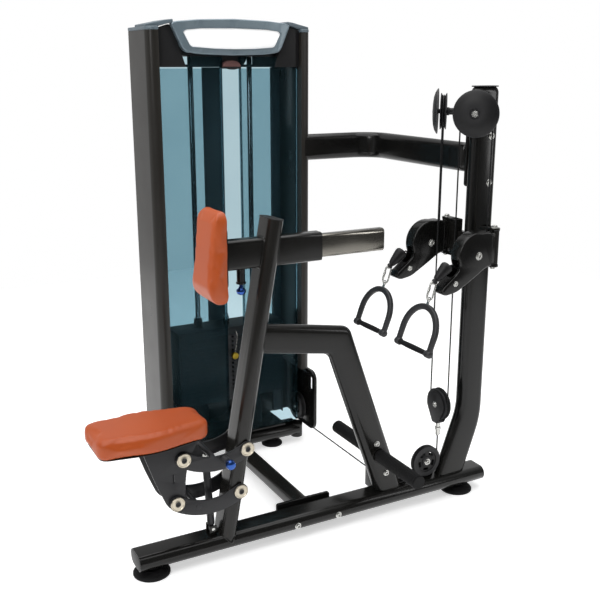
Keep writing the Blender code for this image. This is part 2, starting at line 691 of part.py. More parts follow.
def tower_top():
    """Folded channel between the columns, with the axles of both top pulleys."""
    outline = [(0.640, 1.480), (0.646, 1.480), (0.646, 1.585), (0.794, 1.585), (0.794, 1.480),
               (0.800, 1.480), (0.800, 1.591), (0.640, 1.591)]
    top = plate([outline], "x", 0.3485, 0.8855)
    for x, y, z in (RISER_PULLEY, DROP_PULLEY):
        join(top, rod((x, 0.643, z), (x, 0.797, z), AXLE_RADIUS))
    for side in (-1, 1):
        x = TOWER_MID_X + side * ROD_OFFSET
        join(top, box((x - 0.010, 0.6415, ROD_TOP + GAP), (x + 0.010, 0.7985, ROD_TOP + 0.010)))
    return piece(settled(top), "tower_top", "satin_black")


def header_bezel():
    """Bowed frame around the name plate's place."""
    mid = TOWER_MID_X
    outline = [(mid + 0.218, 1.640), (mid - 0.218, 1.640), (mid - 0.222, 1.622), (mid - 0.185, 1.535),
               (mid - 0.165, 1.526), (mid, 1.520), (mid + 0.165, 1.526), (mid + 0.185, 1.535),
               (mid + 0.222, 1.622)]
    bezel = plate([outline], "y", 0.588, 0.6165)
    opening = [(mid - 0.170, 1.598), (mid - 0.146, 1.549), (mid + 0.146, 1.549), (mid + 0.170, 1.598),
               (mid + 0.090, 1.604), (mid - 0.090, 1.604)]
    recess = plate([opening], "y", 0.570, 0.593)
    cut(bezel, recess)
    return piece(settled(bezel), "header_bezel", "silver_plastic")


def front_shroud(name, side):
    """Folded clear panel, from the side column to the centre slot."""
    mid = TOWER_MID_X
    wall = 0.003
    path = [(0.0355, 0.6395), (0.0355, 0.6185), (0.200, 0.6185), (0.2670, 0.6300), (0.2670, 0.6395)]
    inner = [(0.0385, 0.6395), (0.0385, 0.6215), (0.1995, 0.6215), (0.2640, 0.6325), (0.2640, 0.6395)]
    loop = path + list(reversed(inner))
    loop = [(mid + side * a, b) for a, b in loop]
    if side < 0:
        loop = list(reversed(loop))
    return piece(plate([loop], "z", 0.100, 1.515), name, "teal_panel")


def rear_shroud():
    panel = box((0.3495, 0.7900, 0.100), (0.8845, 0.7930, 1.475))
    return piece(panel, "rear_shroud", "teal_panel")


def guide_rod(name, side):
    x = TOWER_MID_X + side * ROD_OFFSET
    return piece(rod((x, STACK_Y, 0.0883), (x, STACK_Y, ROD_TOP), 0.0095, 16), name, "chrome")


def weight_block(bottom, top):
    """Plates lying on each other, drilled for the guide rods and the selector stem."""
    wide, deep = PLATE_SIZE
    block = box((TOWER_MID_X - wide / 2, STACK_Y - deep / 2, bottom),
                (TOWER_MID_X + wide / 2, STACK_Y + deep / 2, top))
    for offset, radius in ((-ROD_OFFSET, 0.0115), (0, 0.0145), (ROD_OFFSET, 0.0115)):
        x = TOWER_MID_X + offset
        cut(block, rod((x, STACK_Y, bottom - 0.01), (x, STACK_Y, top + 0.01), radius, 16))
    return block


def weight_stack():
    split = STACK_BOTTOM + PLATES_RESTING * PLATE_PITCH
    head = split + PLATES_LIFTED * PLATE_PITCH
    resting = piece(settled(weight_block(STACK_BOTTOM, split)), "resting_plates", "cast_iron")
    lifted = weight_block(split + GAP, head)
    pin_z = split + PLATE_PITCH / 2
    cut(lifted, rod((TOWER_MID_X, 0.650, pin_z), (TOWER_MID_X, 0.7060, pin_z), 0.0055, 12))
    centre = (TOWER_MID_X, STACK_Y, head)
    piece(settled(lifted), "lifted_plates", "cast_iron", centre)
    top = weight_block(head + GAP, head + 0.030)
    join(top, rod((TOWER_MID_X, STACK_Y, head + 0.0010), (TOWER_MID_X, STACK_Y, head + 0.029), 0.020, 16))
    join(top, rod((TOWER_MID_X, STACK_Y, STACK_BOTTOM + 0.010), (TOWER_MID_X, STACK_Y, 0.560), 0.0120, 16))
    for side in (-1, 1):
        x = TOWER_MID_X + side * ROD_OFFSET
        bush = rod((x, STACK_Y, head + 0.028), (x, STACK_Y, head + 0.065), 0.016, 16)
        join(top, bush)
        cut(top, rod((x, STACK_Y, head - 0.01), (x, STACK_Y, head + 0.08), 0.0112, 16))
    piece(settled(top), "top_plate", "cast_iron", centre)
    pull_pin("selector_pin", (TOWER_MID_X, 0.632, pin_z), (TOWER_MID_X, 0.7050, pin_z), 0.0045, 0.0135,
             (TOWER_MID_X, 0.650, pin_z), "brass")
    for number, side in ((0, -1), (1, 1)):
        x = TOWER_MID_X + side * ROD_OFFSET
        profile = [(0.0115, STACK_BOTTOM - GAP), (0.026, STACK_BOTTOM - GAP), (0.030, 0.205),
                   (0.030, 0.0883), (0.0115, 0.0883)]
        bumper = ring(profile, (x, STACK_Y, 0), (0, 0, 1), 16)
        piece(bumper, ("stack_bumper_left", "stack_bumper_right")[number], "rubber_black")
    return resting


# ---- handles ------------------------------------------------------------------------------------
def handle_parts(word, side):
    y = side * 0.126
    start, end = Vector((1.0225, y, 0.8760)), Vector((0.9670, y, 0.8241))
    run = end - start
    length = run.length
    profile = [(0, length), (0.0085, length), (0.0100, length - 0.010), (0.0185, 0.024), (0.0205, 0.012),
               (0.0180, 0.003), (0.010, 0), (0, 0)]
    stop = turned(profile, start, run, 20)
    loop = []
    top, low = Vector((0.9695, y, 0.8281)), Vector((0.9520, y, 0.7710))
    down = (low - top).normalized()
    sideways = down.cross(Vector((0, 1, 0))).normalized()
    half_long = (low - top).length / 2
    for a, b in arc((half_long - 0.011, 0), 0.011, -90, 90, 10) + arc((0.011 - half_long, 0), 0.011, 90, 270, 10):
        loop.append(tuple((top + low) / 2 + down * a + sideways * b))
    curve = bpy.data.curves.new("snap_hook", "CURVE")
    curve.dimensions = "3D"
    curve.bevel_depth = 0.0032
    curve.bevel_resolution = 1
    spline = curve.splines.new("POLY")
    spline.points.add(len(loop) - 1)
    for point, co in zip(spline.points, loop):
        point.co = (*co, 1)
    spline.use_cyclic_u = True
    hook = bake(link_helper(bpy.data.objects.new("snap_hook", curve)))
    join(stop, hook)
    piece(settled(stop), "cable_stop_" + word, "satin_black", start)

    grip = Vector((0.897, y, 0.622))
    across = Vector((0, 1, 0))
    up = (low - grip).normalized()
    normal = across.cross(up)
    tall = (low - grip).length + 0.0006        # middle of the lug, which hangs on the hook
    centre = (0, tall - 0.1065)
    bow = [(0.092, 0.0)] + arc(centre, 0.092, 0, 180, 14) + [(-0.092, 0.0), (-0.071, 0.0)]
    bow += arc(centre, 0.071, 180, 0, 14) + [(0.071, 0.0)]
    handle = plate([bow], "z", -0.008, 0.008)
    lug = plate([arc((0, tall), 0.0090, 0, 340, 17)], "z", -0.0010, 0.0010)
    neck = box((-0.008, tall - 0.026, -0.0010), (0.008, tall - 0.0070, 0.0010))
    frame = Matrix.Translation(grip) @ Matrix((across, up, normal)).transposed().to_4x4()
    for solid in (handle, lug, neck):
        solid.matrix_basis = frame @ solid.matrix_basis
    join(handle, lug, neck)
    eye = grip + up * tall
    cut(handle, rod(eye - normal * 0.02, eye + normal * 0.02, 0.0058, 16))
    join(handle, rod(grip - across * 0.086, grip + across * 0.086, 0.0090, 16))
    for end_side in (-1, 1):
        middle = grip + across * 0.0810 * end_side
        join(handle, rod(middle - across * 0.0125, middle + across * 0.0125, 0.0120, 16))
    return piece(settled(handle), "handle_" + word, "satin_black", low)


# ---- seat ---------------------------------------------------------------------------------------
def link_pin(x, z):
    """Pivot pin with a large washer at each end."""
    y0, y1 = LINK_Y
    reach = y1 + 0.0052
    profile = [(0, reach), (0.021, reach), (0.022, y1 + GAP * 2), (0.008, y1 + GAP * 2),
               (0.008, -y1 - GAP * 2), (0.022, -y1 - GAP * 2), (0.021, -reach), (0, -reach)]
    return turned(profile, (x, 0, z), (0, 1, 0), 24)


def seat_pivot(column_pivot):
    return (column_pivot[0] + LINK_REACH[0], column_pivot[1] + LINK_REACH[1])


def link_outline(start, end, sag, width):
    """Band with round ends that bows downwards between two pivots."""
    a, b = Vector(start), Vector(end)
    run = b - a
    half = run.length / 2
    radius = (half * half + sag * sag) / (2 * sag)
    spread = math.degrees(math.asin(half / radius))
    tilt = math.degrees(math.atan2(run.y, run.x))
    normal = Vector((-run.y, run.x)).normalized()
    centre = (a + b) / 2 + normal * (radius - sag)
    low, high = 270 - spread + tilt, 270 + spread + tilt
    w = width / 2
    outer = arc(centre, radius + w, low, high, 10)
    inner = arc(centre, radius - w, high, low, 10)
    end_cap = arc(b, w, high, high + 180, 8)[1:-1]
    start_cap = arc(a, w, low + 180, low + 360, 8)[1:-1]
    return outer + end_cap + inner + start_cap


def seat_link(name, pivot, bar_at):
    start = seat_pivot(pivot)
    outline = link_outline(start, pivot, 0.030, 0.048)
    holes = [list(reversed(arc(p, 0.0088, 0, 337.5, 15))) for p in (start, pivot)]
    y0, y1 = LINK_Y
    link = plate([outline] + holes, "y", y0, y1)
    join(link, plate([outline] + holes, "y", -y1, -y0))
    join(link, rod((bar_at[0], -y0 - 0.003, bar_at[1]), (bar_at[0], y0 + 0.003, bar_at[1]), 0.008, 16))
    if name == "upper_link":
        stub = rod((0.270, -0.086, 0.350), (0.270, -y0 - 0.002, 0.350), 0.0115, 16)
        join(link, stub)
        cut(link, rod((0.270, -0.090, 0.350), (0.270, -y1 - 0.002, 0.350), 0.0055, 12))
    return piece(settled(link), name, "satin_black", (pivot[0], 0, pivot[1]))


def seat_bracket():
    """Two side plates under a top plate, with the seat-side pivots."""
    outline = [(0.200, 0.4295), (0.028, 0.4295), (0.064, 0.290), (0.094, 0.226), (0.122, 0.214),
               (0.140, 0.226), (0.148, 0.262), (0.160, 0.372)]
    bracket = plate([outline], "y", 0.0440, 0.0500)
    join(bracket, plate([outline], "y", -0.0500, -0.0440))
    join(bracket, box((0.000, -0.060, 0.4235), (0.195, 0.060, SEAT_BOTTOM - GAP)))
    for pivot in LINK_COLUMN_PIVOTS:
        join(bracket, link_pin(*seat_pivot(pivot)))
    upper = seat_pivot(LINK_COLUMN_PIVOTS[0])
    return piece(settled(bracket), "seat_bracket", "satin_black", (upper[0], 0, upper[1]))


def seat_cushion():
    """Six-sided cushion, widest at mid length, with rounded corners."""
    corners = [(-0.118, -0.089), (0.052, -0.116), (0.231, -0.073), (0.231, 0.073), (0.052, 0.116),
               (-0.118, 0.089)]
    rounded = []
    for i, corner in enumerate(corners):
        here = Vector(corner)
        before = (Vector(corners[i - 1]) - here).normalized()
        after = (Vector(corners[(i + 1) % 6]) - here).normalized()
        for step in range(4):
            t = step / 3
            point = here + before * 0.024 * (1 - t) ** 2 + after * 0.024 * t ** 2
            rounded.append((point.x, point.y))
    cushion = plate([rounded], "z", SEAT_BOTTOM, SEAT_BOTTOM + SEAT_THICK)
    cushion = round_long_edges(cushion, "z", SEAT_TILT_EDGE, 2)
    upper = seat_pivot(LINK_COLUMN_PIVOTS[0])
    return piece(cushion, "seat_cushion", "upholstery", (upper[0], 0, upper[1]))


def gas_spring_body():
    foot_point = Vector((GAS_FOOT[0], 0, GAS_FOOT[1]))
    run = Vector((GAS_TOP[0], 0, GAS_TOP[1])) - foot_point
    profile = [(0, 0.060), (0.0052, 0.060), (0.0052, 0.205), (0.0105, 0.205), (0.0115, 0.200),
               (0.0115, 0.014), (0.008, 0.010), (0.008, -0.008), (0, -0.008)]
    body = turned(profile, foot_point, run, 16)
    return piece(body, "gas_spring_body", "satin_black", foot_point)


def gas_spring_rod():
    foot_point = Vector((GAS_FOOT[0], 0, GAS_FOOT[1]))
    run = Vector((GAS_TOP[0], 0, GAS_TOP[1])) - foot_point
    end = run.length - 0.0125
    profile = [(0, end), (0.0075, end), (0.0080, end - 0.012), (0.0042, end - 0.014), (0.0042, 0.110),
               (0, 0.110)]
    bar = turned(profile, foot_point, run, 16)
    return piece(bar, "gas_spring_rod", "chrome", foot_point)


# ---- assembly -----------------------------------------------------------------------------------
def build():
    base_rail()
    foot("foot_seat_end", 0.048, 0, 0.0565)
    foot("foot_post_end", 1.200, 0, 0.0565)
    foot("foot_tower_left", 0.450, 0.665, 0.042)
    foot("foot_tower_right", 0.784, 0.665, 0.042)
    seat_column()
    pad_tube()
    chest_pad()
    pad_pin()
    front_frame()
    foot_bar()
    cable_post()
    cross_brace()
    swivel_crossbar()
    for word, side in (("near", -1), ("far", 1)):
        x, y, z = ARM_PULLEY
        swivel_arm("swivel_arm_" + word, side)
        pulley("arm_pulley_" + word, (x, side * y, z), (0, 1, 0))
        top_axle("top_axle_" + word, side)
        x, y, z = TOP_PULLEY
        pulley("top_pulley_" + word, (x, side * y, z), (TOP_AXIS[0], side * TOP_AXIS[1], 0), TOP_ARC)
        handle_parts(word, side)
    side_pulley_bracket()
    pulley("low_pulley", LOW_PULLEY, (0, 1, 0))
    pulley("corner_pulley", CORNER_PULLEY, (0, 0, 1))
    pulley("side_pulley", SIDE_PULLEY, (1, 0, 0))
    pulley("riser_pulley", RISER_PULLEY, (0, 1, 0))
    pulley("drop_pulley", DROP_PULLEY, (0, 1, 0))
    float_block()
    pulley("float_pulley", FLOAT_PULLEY, (1, 0, 0), CABLE_ARC)
    handle_cable()
    front_cable()
    stack_cable()
    tower_base()
    side_column("side_column_left", -1)
    side_column("side_column_right", 1)
    tower_top()
    header_bezel()
    front_shroud("front_shroud_left", -1)
    front_shroud("front_shroud_right", 1)
    rear_shroud()
    guide_rod("guide_rod_left", -1)
    guide_rod("guide_rod_right", 1)
    weight_stack()
    seat_bracket()
    seat_cushion()
    seat_link("upper_link", LINK_COLUMN_PIVOTS[0], GAS_TOP)
    seat_link("lower_link", LINK_COLUMN_PIVOTS[1], (0.185, 0.212))
    gas_spring_body()
    gas_spring_rod()
    pull_pin("seat_pin", (0.270, -0.118, 0.350), (0.270, -0.062, 0.350), 0.0048, 0.0155,
             (0.270, -0.090, 0.350))


build()
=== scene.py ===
# %% [markdown]
# # Seated cable row, modelled piece by piece over the CAD frame
# The machine is drawn in a working frame: x along the base rail from its seat end, y = 0 on the
# rail's centre plane, z = 0 on the floor.  Every finished piece is shifted into the CAD frame at the end.

# %% The CAD frame and the working frame
import math

import bmesh
import bpy
from mathutils import Matrix, Vector


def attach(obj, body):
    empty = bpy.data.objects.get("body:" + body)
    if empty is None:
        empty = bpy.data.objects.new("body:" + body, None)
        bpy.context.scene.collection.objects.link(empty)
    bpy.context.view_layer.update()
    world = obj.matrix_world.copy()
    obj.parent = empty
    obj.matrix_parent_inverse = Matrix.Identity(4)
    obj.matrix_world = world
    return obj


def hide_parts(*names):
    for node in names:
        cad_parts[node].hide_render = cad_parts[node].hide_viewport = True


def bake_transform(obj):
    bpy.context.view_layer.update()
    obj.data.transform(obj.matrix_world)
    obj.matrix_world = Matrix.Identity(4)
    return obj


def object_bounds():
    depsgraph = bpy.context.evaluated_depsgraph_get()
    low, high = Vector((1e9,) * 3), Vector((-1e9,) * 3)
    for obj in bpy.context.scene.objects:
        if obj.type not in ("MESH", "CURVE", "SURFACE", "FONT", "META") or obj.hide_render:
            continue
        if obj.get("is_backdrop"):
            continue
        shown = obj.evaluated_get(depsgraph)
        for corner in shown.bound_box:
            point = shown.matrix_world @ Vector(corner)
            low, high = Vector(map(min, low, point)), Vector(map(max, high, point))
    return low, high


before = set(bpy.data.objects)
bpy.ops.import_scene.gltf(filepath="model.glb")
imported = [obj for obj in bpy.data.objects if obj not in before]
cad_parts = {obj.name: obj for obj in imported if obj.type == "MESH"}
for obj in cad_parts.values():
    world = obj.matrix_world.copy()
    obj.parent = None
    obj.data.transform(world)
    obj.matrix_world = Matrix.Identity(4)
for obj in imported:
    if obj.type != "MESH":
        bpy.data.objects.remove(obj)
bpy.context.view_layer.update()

MID = (0.5860, 0.2740)               # middle of the footprint in the working frame
TO_CAD = Matrix.Translation((-MID[0], -MID[1], 0))

# %% [markdown]
# ## Camera, lights and floor
# A long lens from the seat's near side, slightly above, and a bright even studio.

# %% Camera
camera_data = bpy.data.cameras.new("camera")
camera_data.lens = 52.02
camera_data.sensor_width = 36.0
camera = bpy.data.objects.new("camera", camera_data)
camera.location = (-0.654 - MID[0], -2.263 - MID[1], 1.484)
camera.rotation_euler = (math.radians(74.89), 0, math.radians(-28.17))
bpy.context.scene.collection.objects.link(camera)
bpy.context.scene.camera = camera


def area_light(name, place, target, size, power):
    data = bpy.data.lights.new(name, "AREA")
    data.shape = "RECTANGLE"
    data.size, data.size_y = size
    data.energy = power
    light = bpy.data.objects.new(name, data)
    light.location = place
    light.rotation_euler = (Vector(target) - Vector(place)).to_track_quat("-Z", "Y").to_euler()
    bpy.context.scene.collection.objects.link(light)
    return light


area_light("key", (-2.4, -1.6, 2.6), (0, 0, 0.8), (0.8, 2.0), 38)
area_light("side", (2.6, -2.2, 1.9), (0, 0, 0.7), (0.4, 2.0), 12)
area_light("top", (0.0, 0.0, 3.3), (0, 0, 0), (3.4, 3.4), 78)

# The surroundings are white behind the machine and dim in front of it, so the black paint stays black.
world = bpy.data.worlds.new("studio")
world.use_nodes = True
sky = world.node_tree
heading = sky.nodes.new("ShaderNodeTexCoord")
parts = sky.nodes.new("ShaderNodeSeparateXYZ")
fade = sky.nodes.new("ShaderNodeMapRange")
fade.interpolation_type = "SMOOTHSTEP"
for socket, value in (("From Min", -0.50), ("From Max", 0.20), ("To Min", 0.12), ("To Max", 0.62)):
    fade.inputs[socket].default_value = value
white = sky.nodes.new("ShaderNodeBackground")
white.inputs["Color"].default_value = (1, 1, 1, 1)
rays = sky.nodes.new("ShaderNodeLightPath")
choose = sky.nodes.new("ShaderNodeMixShader")
sky.links.new(heading.outputs["Generated"], parts.inputs[0])
sky.links.new(parts.outputs["Y"], fade.inputs["Value"])
sky.links.new(fade.outputs["Result"], sky.nodes["Background"].inputs["Strength"])
sky.nodes["Background"].inputs["Color"].default_value = (1, 1, 1, 1)
sky.links.new(rays.outputs["Is Camera Ray"], choose.inputs[0])
sky.links.new(sky.nodes["Background"].outputs[0], choose.inputs[1])
sky.links.new(white.outputs[0], choose.inputs[2])
sky.links.new(choose.outputs[0], sky.nodes["World Output"].inputs["Surface"])
bpy.context.scene.world = world
bpy.context.scene.view_settings.view_transform = "Standard"

# %% [markdown]
# ## Materials
# Each one is built from object-space noise at its real grain size, so no finish is a flat colour.


# %% Material helpers
def linear(code):
    """Linear colour of an sRGB hex code."""
    values = [int(code[i:i + 2], 16) / 255 for i in (1, 3, 5)]
    return tuple(v / 12.92 if v <= 0.04045 else ((v + 0.055) / 1.055) ** 2.4 for v in values) + (1.0,)


def add(tree, kind, settings=None, **links):
    """Add a node with its settings (sockets by name or attributes) and its links (input = output socket)."""
    node = tree.nodes.new(kind)
    for key, value in (settings or {}).items():
        if hasattr(node, key):
            setattr(node, key, value)
        else:
            node.inputs[key].default_value = value
    for key, socket in links.items():
        tree.links.new(socket, node.inputs[key.replace("_", " ")])
    return node


def surface(name, colour_a, colour_b, rough, grain_mm, bump, metallic=0.0, coat=0.0, spread=0.08, wear_and_edge_highlight=None,
            spec=0.5):
    """A two-tone noise finish: colour_a to colour_b, roughness rough +- spread, grain of a real size."""
    made = bpy.data.materials.new(name)
    made.use_nodes = True
    tree = made.node_tree
    shader = tree.nodes["Principled BSDF"]
    place = add(tree, "ShaderNodeTexCoord").outputs["Object"]
    cloud = add(tree, "ShaderNodeTexNoise", {"Scale": 9.0, "Detail": 3.0}, Vector=place)
    grain = add(tree, "ShaderNodeTexNoise", {"Scale": 1000.0 / grain_mm / 3, "Detail": 2.0}, Vector=place)
    mix = add(tree, "ShaderNodeMix", {"data_type": "RGBA"})
    tree.links.new(cloud.outputs["Fac"], mix.inputs[0])
    mix.inputs[6].default_value = linear(colour_a)
    mix.inputs[7].default_value = linear(colour_b)
    colour = mix.outputs[2]
    # Paler colour where the mesh is pointy (convex edges): wear, and on the vinyl a painted edge highlight.
    if wear_and_edge_highlight:
        edge = add(tree, "ShaderNodeNewGeometry").outputs["Pointiness"]
        ramp = add(tree, "ShaderNodeMapRange", {"From Min": 0.52, "From Max": 0.60}, Value=edge)
        wear_and_highlight_mix = add(tree, "ShaderNodeMix", {"data_type": "RGBA"})
        tree.links.new(ramp.outputs["Result"], wear_and_highlight_mix.inputs[0])
        tree.links.new(colour, wear_and_highlight_mix.inputs[6])
        wear_and_highlight_mix.inputs[7].default_value = linear(wear_and_edge_highlight)
        colour = wear_and_highlight_mix.outputs[2]
    tree.links.new(colour, shader.inputs["Base Color"])
    shift = add(tree, "ShaderNodeMapRange", {"To Min": rough - spread, "To Max": rough + spread},
                Value=cloud.outputs["Fac"])
    tree.links.new(shift.outputs["Result"], shader.inputs["Roughness"])
    relief = add(tree, "ShaderNodeBump", {"Strength": bump, "Distance": 0.0004}, Height=grain.outputs["Fac"])
    tree.links.new(relief.outputs["Normal"], shader.inputs["Normal"])
    shader.inputs["Metallic"].default_value = metallic
    shader.inputs["Specular IOR Level"].default_value = spec
    shader.inputs["Coat Weight"].default_value = coat
    shader.inputs["Coat Roughness"].default_value = 0.08
    return made


# %% [markdown]
# Colours are dark on purpose: gloss paint reads by its highlights.  Paler edges come from the
# mesh's own pointiness, so they follow every bevel: wear on most finishes, and a painted edge
# highlight on the vinyl.

# %% The finishes
# Gloss powder coat: near black with a soft orange-peel that breaks the reflections up.
POWDER = surface("gloss black powder coat", "#0c0c0c", "#121211", 0.20, 1.6, 0.04, wear_and_edge_highlight="#1f1e1c", spec=0.32)
# Satin powder coat on the plates and links: greyer, wider highlights.
SATIN = surface("satin dark grey powder coat", "#232325", "#2b2b2d", 0.38, 1.0, 0.10, wear_and_edge_highlight="#3c3c3e",
                spec=0.25)
# Aluminium extrusion of the tower's sides, painted a warm dark grey.
SIDE = surface("painted side extrusion", "#141311", "#1b1916", 0.30, 1.2, 0.05, wear_and_edge_highlight="#2c2a27", spec=0.34)
# Moulded nylon: fine spark-eroded grain.
NYLON = surface("moulded black nylon", "#141415", "#1c1c1d", 0.44, 0.5, 0.15, wear_and_edge_highlight="#303032", spec=0.25)
GRIP = surface("moulded grip polymer", "#242426", "#303032", 0.36, 0.6, 0.20, wear_and_edge_highlight="#48484a", spec=0.30)
# Upholstery vinyl: orange tan, with a pebble grain of about a millimetre and paler edges that are a painted
# edge highlight.
VINYL = surface("orange tan vinyl", "#a8481c", "#b35223", 0.40, 1.1, 0.12, wear_and_edge_highlight="#c06a42", spec=0.35)
RUBBER = surface("matt black rubber", "#0f0f10", "#181819", 0.65, 0.8, 0.25, spec=0.20)
CHROME = surface("chrome plated tube", "#77746d", "#86837c", 0.16, 2.0, 0.01, metallic=1.0, spread=0.04)
ROD = surface("hard chrome rod", "#7a8186", "#878e93", 0.22, 2.0, 0.01, metallic=1.0, spread=0.04)
ZINC = surface("bright zinc", "#b9b9b6", "#cfcfcb", 0.26, 0.4, 0.05, metallic=1.0)
WASHER = surface("champagne brushed aluminium", "#b3ab9b", "#c4bcab", 0.34, 0.4, 0.10, metallic=1.0)
BLUE = surface("blue anodised aluminium", "#1e448c", "#2b5cae", 0.20, 0.5, 0.03, metallic=0.85, coat=0.4)
BRASS = surface("turned brass", "#9c8630", "#b69c3e", 0.28, 0.4, 0.05, metallic=1.0)
IRON = surface("painted cast weights", "#14181a", "#1c2022", 0.50, 0.7, 0.25, wear_and_edge_highlight="#2c3033", spec=0.25)
SILVER = surface("silver grey moulding", "#66757e", "#75858e", 0.34, 0.6, 0.06, metallic=0.35, coat=0.3,
                 wear_and_edge_highlight="#93a1a9")
CAPGREY = surface("grey end cap plastic", "#55626a", "#606d75", 0.42, 0.6, 0.12)
GLOWING_PLATE = surface("white name plate with painted glow", "#f8f8f8", "#fdfdfd", 0.30, 1.5, 0.02)
# The faint emission is a painted glow that keeps the plate bright white under any light.
GLOWING_PLATE.node_tree.nodes["Principled BSDF"].inputs["Emission Color"].default_value = (1, 1, 1, 1)
GLOWING_PLATE.node_tree.nodes["Principled BSDF"].inputs["Emission Strength"].default_value = 0.25
CABLE = surface("nylon coated cable", "#101010", "#18181a", 0.38, 0.5, 0.10, spec=0.20)
BACKRAIL = surface("grey painted back rail", "#3e4448", "#484e52", 0.45, 1.2, 0.06, spec=0.25)
BUMPER = surface("reddish brown rubber", "#5c3c3a", "#6a4744", 0.55, 0.8, 0.20)
FLOOR = surface("studio floor", "#f6f6f6", "#fafafa", 0.75, 4.0, 0.0, spec=0.1)
FLOOR.node_tree.nodes["Principled BSDF"].inputs["Emission Color"].default_value = (1, 1, 1, 1)
FLOOR.node_tree.nodes["Principled BSDF"].inputs["Emission Strength"].default_value = 0.50


def tinted_panel():
    """Clear teal sheet: the light through it is coloured once per wall, and its face is glossy."""
    made = bpy.data.materials.new("teal tinted polycarbonate")
    made.use_nodes = True
    tree = made.node_tree
    tree.nodes.remove(tree.nodes["Principled BSDF"])
    place = add(tree, "ShaderNodeTexCoord").outputs["Object"]
    streaks = add(tree, "ShaderNodeTexNoise", {"Scale": 6.0, "Detail": 2.0}, Vector=place)
    tone = add(tree, "ShaderNodeMix", {"data_type": "RGBA"})
    tree.links.new(streaks.outputs["Fac"], tone.inputs[0])
    tone.inputs[6].default_value = linear("#d2e1e6")
    tone.inputs[7].default_value = linear("#d8e6ea")
    through = add(tree, "ShaderNodeBsdfTransparent", Color=tone.outputs[2])
    haze = add(tree, "ShaderNodeBsdfDiffuse", {"Color": linear("#4d7079")})
    gloss = add(tree, "ShaderNodeBsdfGlossy", {"Roughness": 0.12, "Color": linear("#c8d4d8")})
    body = add(tree, "ShaderNodeMixShader", {"Fac": 0.035})
    tree.links.new(through.outputs["BSDF"], body.inputs[1])
    tree.links.new(haze.outputs["BSDF"], body.inputs[2])
    rim = add(tree, "ShaderNodeFresnel", {"IOR": 1.14})
    all_of_it = add(tree, "ShaderNodeMixShader")
    tree.links.new(rim.outputs["Fac"], all_of_it.inputs[0])
    tree.links.new(body.outputs["Shader"], all_of_it.inputs[1])
    tree.links.new(gloss.outputs["BSDF"], all_of_it.inputs[2])
    tree.links.new(all_of_it.outputs["Shader"], tree.nodes["Material Output"].inputs["Surface"])
    return made


TEAL = tinted_panel()

# %% [markdown]
# ## Modelling helpers
# Each works like the tool of the same name: outline and extrude, bar between two points, lathe,
# sweep, Boolean, then join, shade and hand over.


# %% Helpers
def only(thing):
    bpy.ops.object.select_all(action="DESELECT")
    thing.select_set(True)
    bpy.context.view_layer.objects.active = thing
    return thing


def applied(thing):
    """Apply an object's modifiers and its transform."""
    only(thing)
    bpy.ops.object.convert(target="MESH")
    bpy.ops.object.transform_apply(location=True, rotation=True, scale=True)
    return thing


def bevelled(thing, width, segments=3, angle=40):
    if width:
        modifier = thing.modifiers.new("Bevel", "BEVEL")
        modifier.width = width
        modifier.segments = segments
        modifier.limit_method = "ANGLE"
        modifier.angle_limit = math.radians(angle)
        modifier.use_clamp_overlap = True
        applied(thing)
    return thing


def box(low, high, bevel=0.0015, segments=2):
    low, high = Vector(low), Vector(high)
    bpy.ops.mesh.primitive_cube_add(size=1, location=(low + high) / 2)
    made = bpy.context.object
    made.scale = high - low
    bpy.ops.object.transform_apply(location=True, rotation=True, scale=True)
    return bevelled(made, bevel, segments)


def rod(start, end, radius, bevel=0.0008, sides=40):
    start, end = Vector(start), Vector(end)
    run = end - start
    bpy.ops.mesh.primitive_cylinder_add(vertices=sides, radius=radius, depth=run.length)
    made = bpy.context.object
    bevelled(made, bevel, 2)
    turn = Vector((0, 0, 1)).rotation_difference(run).to_matrix().to_4x4()
    made.matrix_world = Matrix.Translation((start + end) / 2) @ turn
    only(made)
    bpy.ops.object.transform_apply(location=True, rotation=True, scale=True)
    return made


def lathe(profile, place, direction, steps=56):
    """Turn a profile of (radius, height), listed down the outer side, round an axis."""
    mesh = bpy.data.meshes.new("profile")
    mesh.from_pydata([(r, 0, h) for r, h in profile], [(i, i + 1) for i in range(len(profile) - 1)], [])
    made = bpy.data.objects.new("profile", mesh)
    bpy.context.scene.collection.objects.link(made)
    screw = made.modifiers.new("Screw", "SCREW")
    screw.steps = screw.render_steps = steps
    screw.use_merge_vertices = True
    screw.merge_threshold = 0.00001
    turn = Vector((0, 0, 1)).rotation_difference(Vector(direction)).to_matrix().to_4x4()
    made.matrix_world = Matrix.Translation(Vector(place)) @ turn
    applied(made)
    bpy.ops.object.mode_set(mode="EDIT")
    bpy.ops.mesh.select_all(action="SELECT")
    bpy.ops.mesh.remove_doubles(threshold=0.00001)
    bpy.ops.mesh.normals_make_consistent(inside=False)
    bpy.ops.object.mode_set(mode="OBJECT")
    return made


PLANES = {
    "y": Matrix(((1, 0, 0, 0), (0, 0, -1, 0), (0, 1, 0, 0), (0, 0, 0, 1))),
    "x": Matrix(((0, 0, 1, 0), (1, 0, 0, 0), (0, 1, 0, 0), (0, 0, 0, 1))),
    "z": Matrix.Identity(4),
}


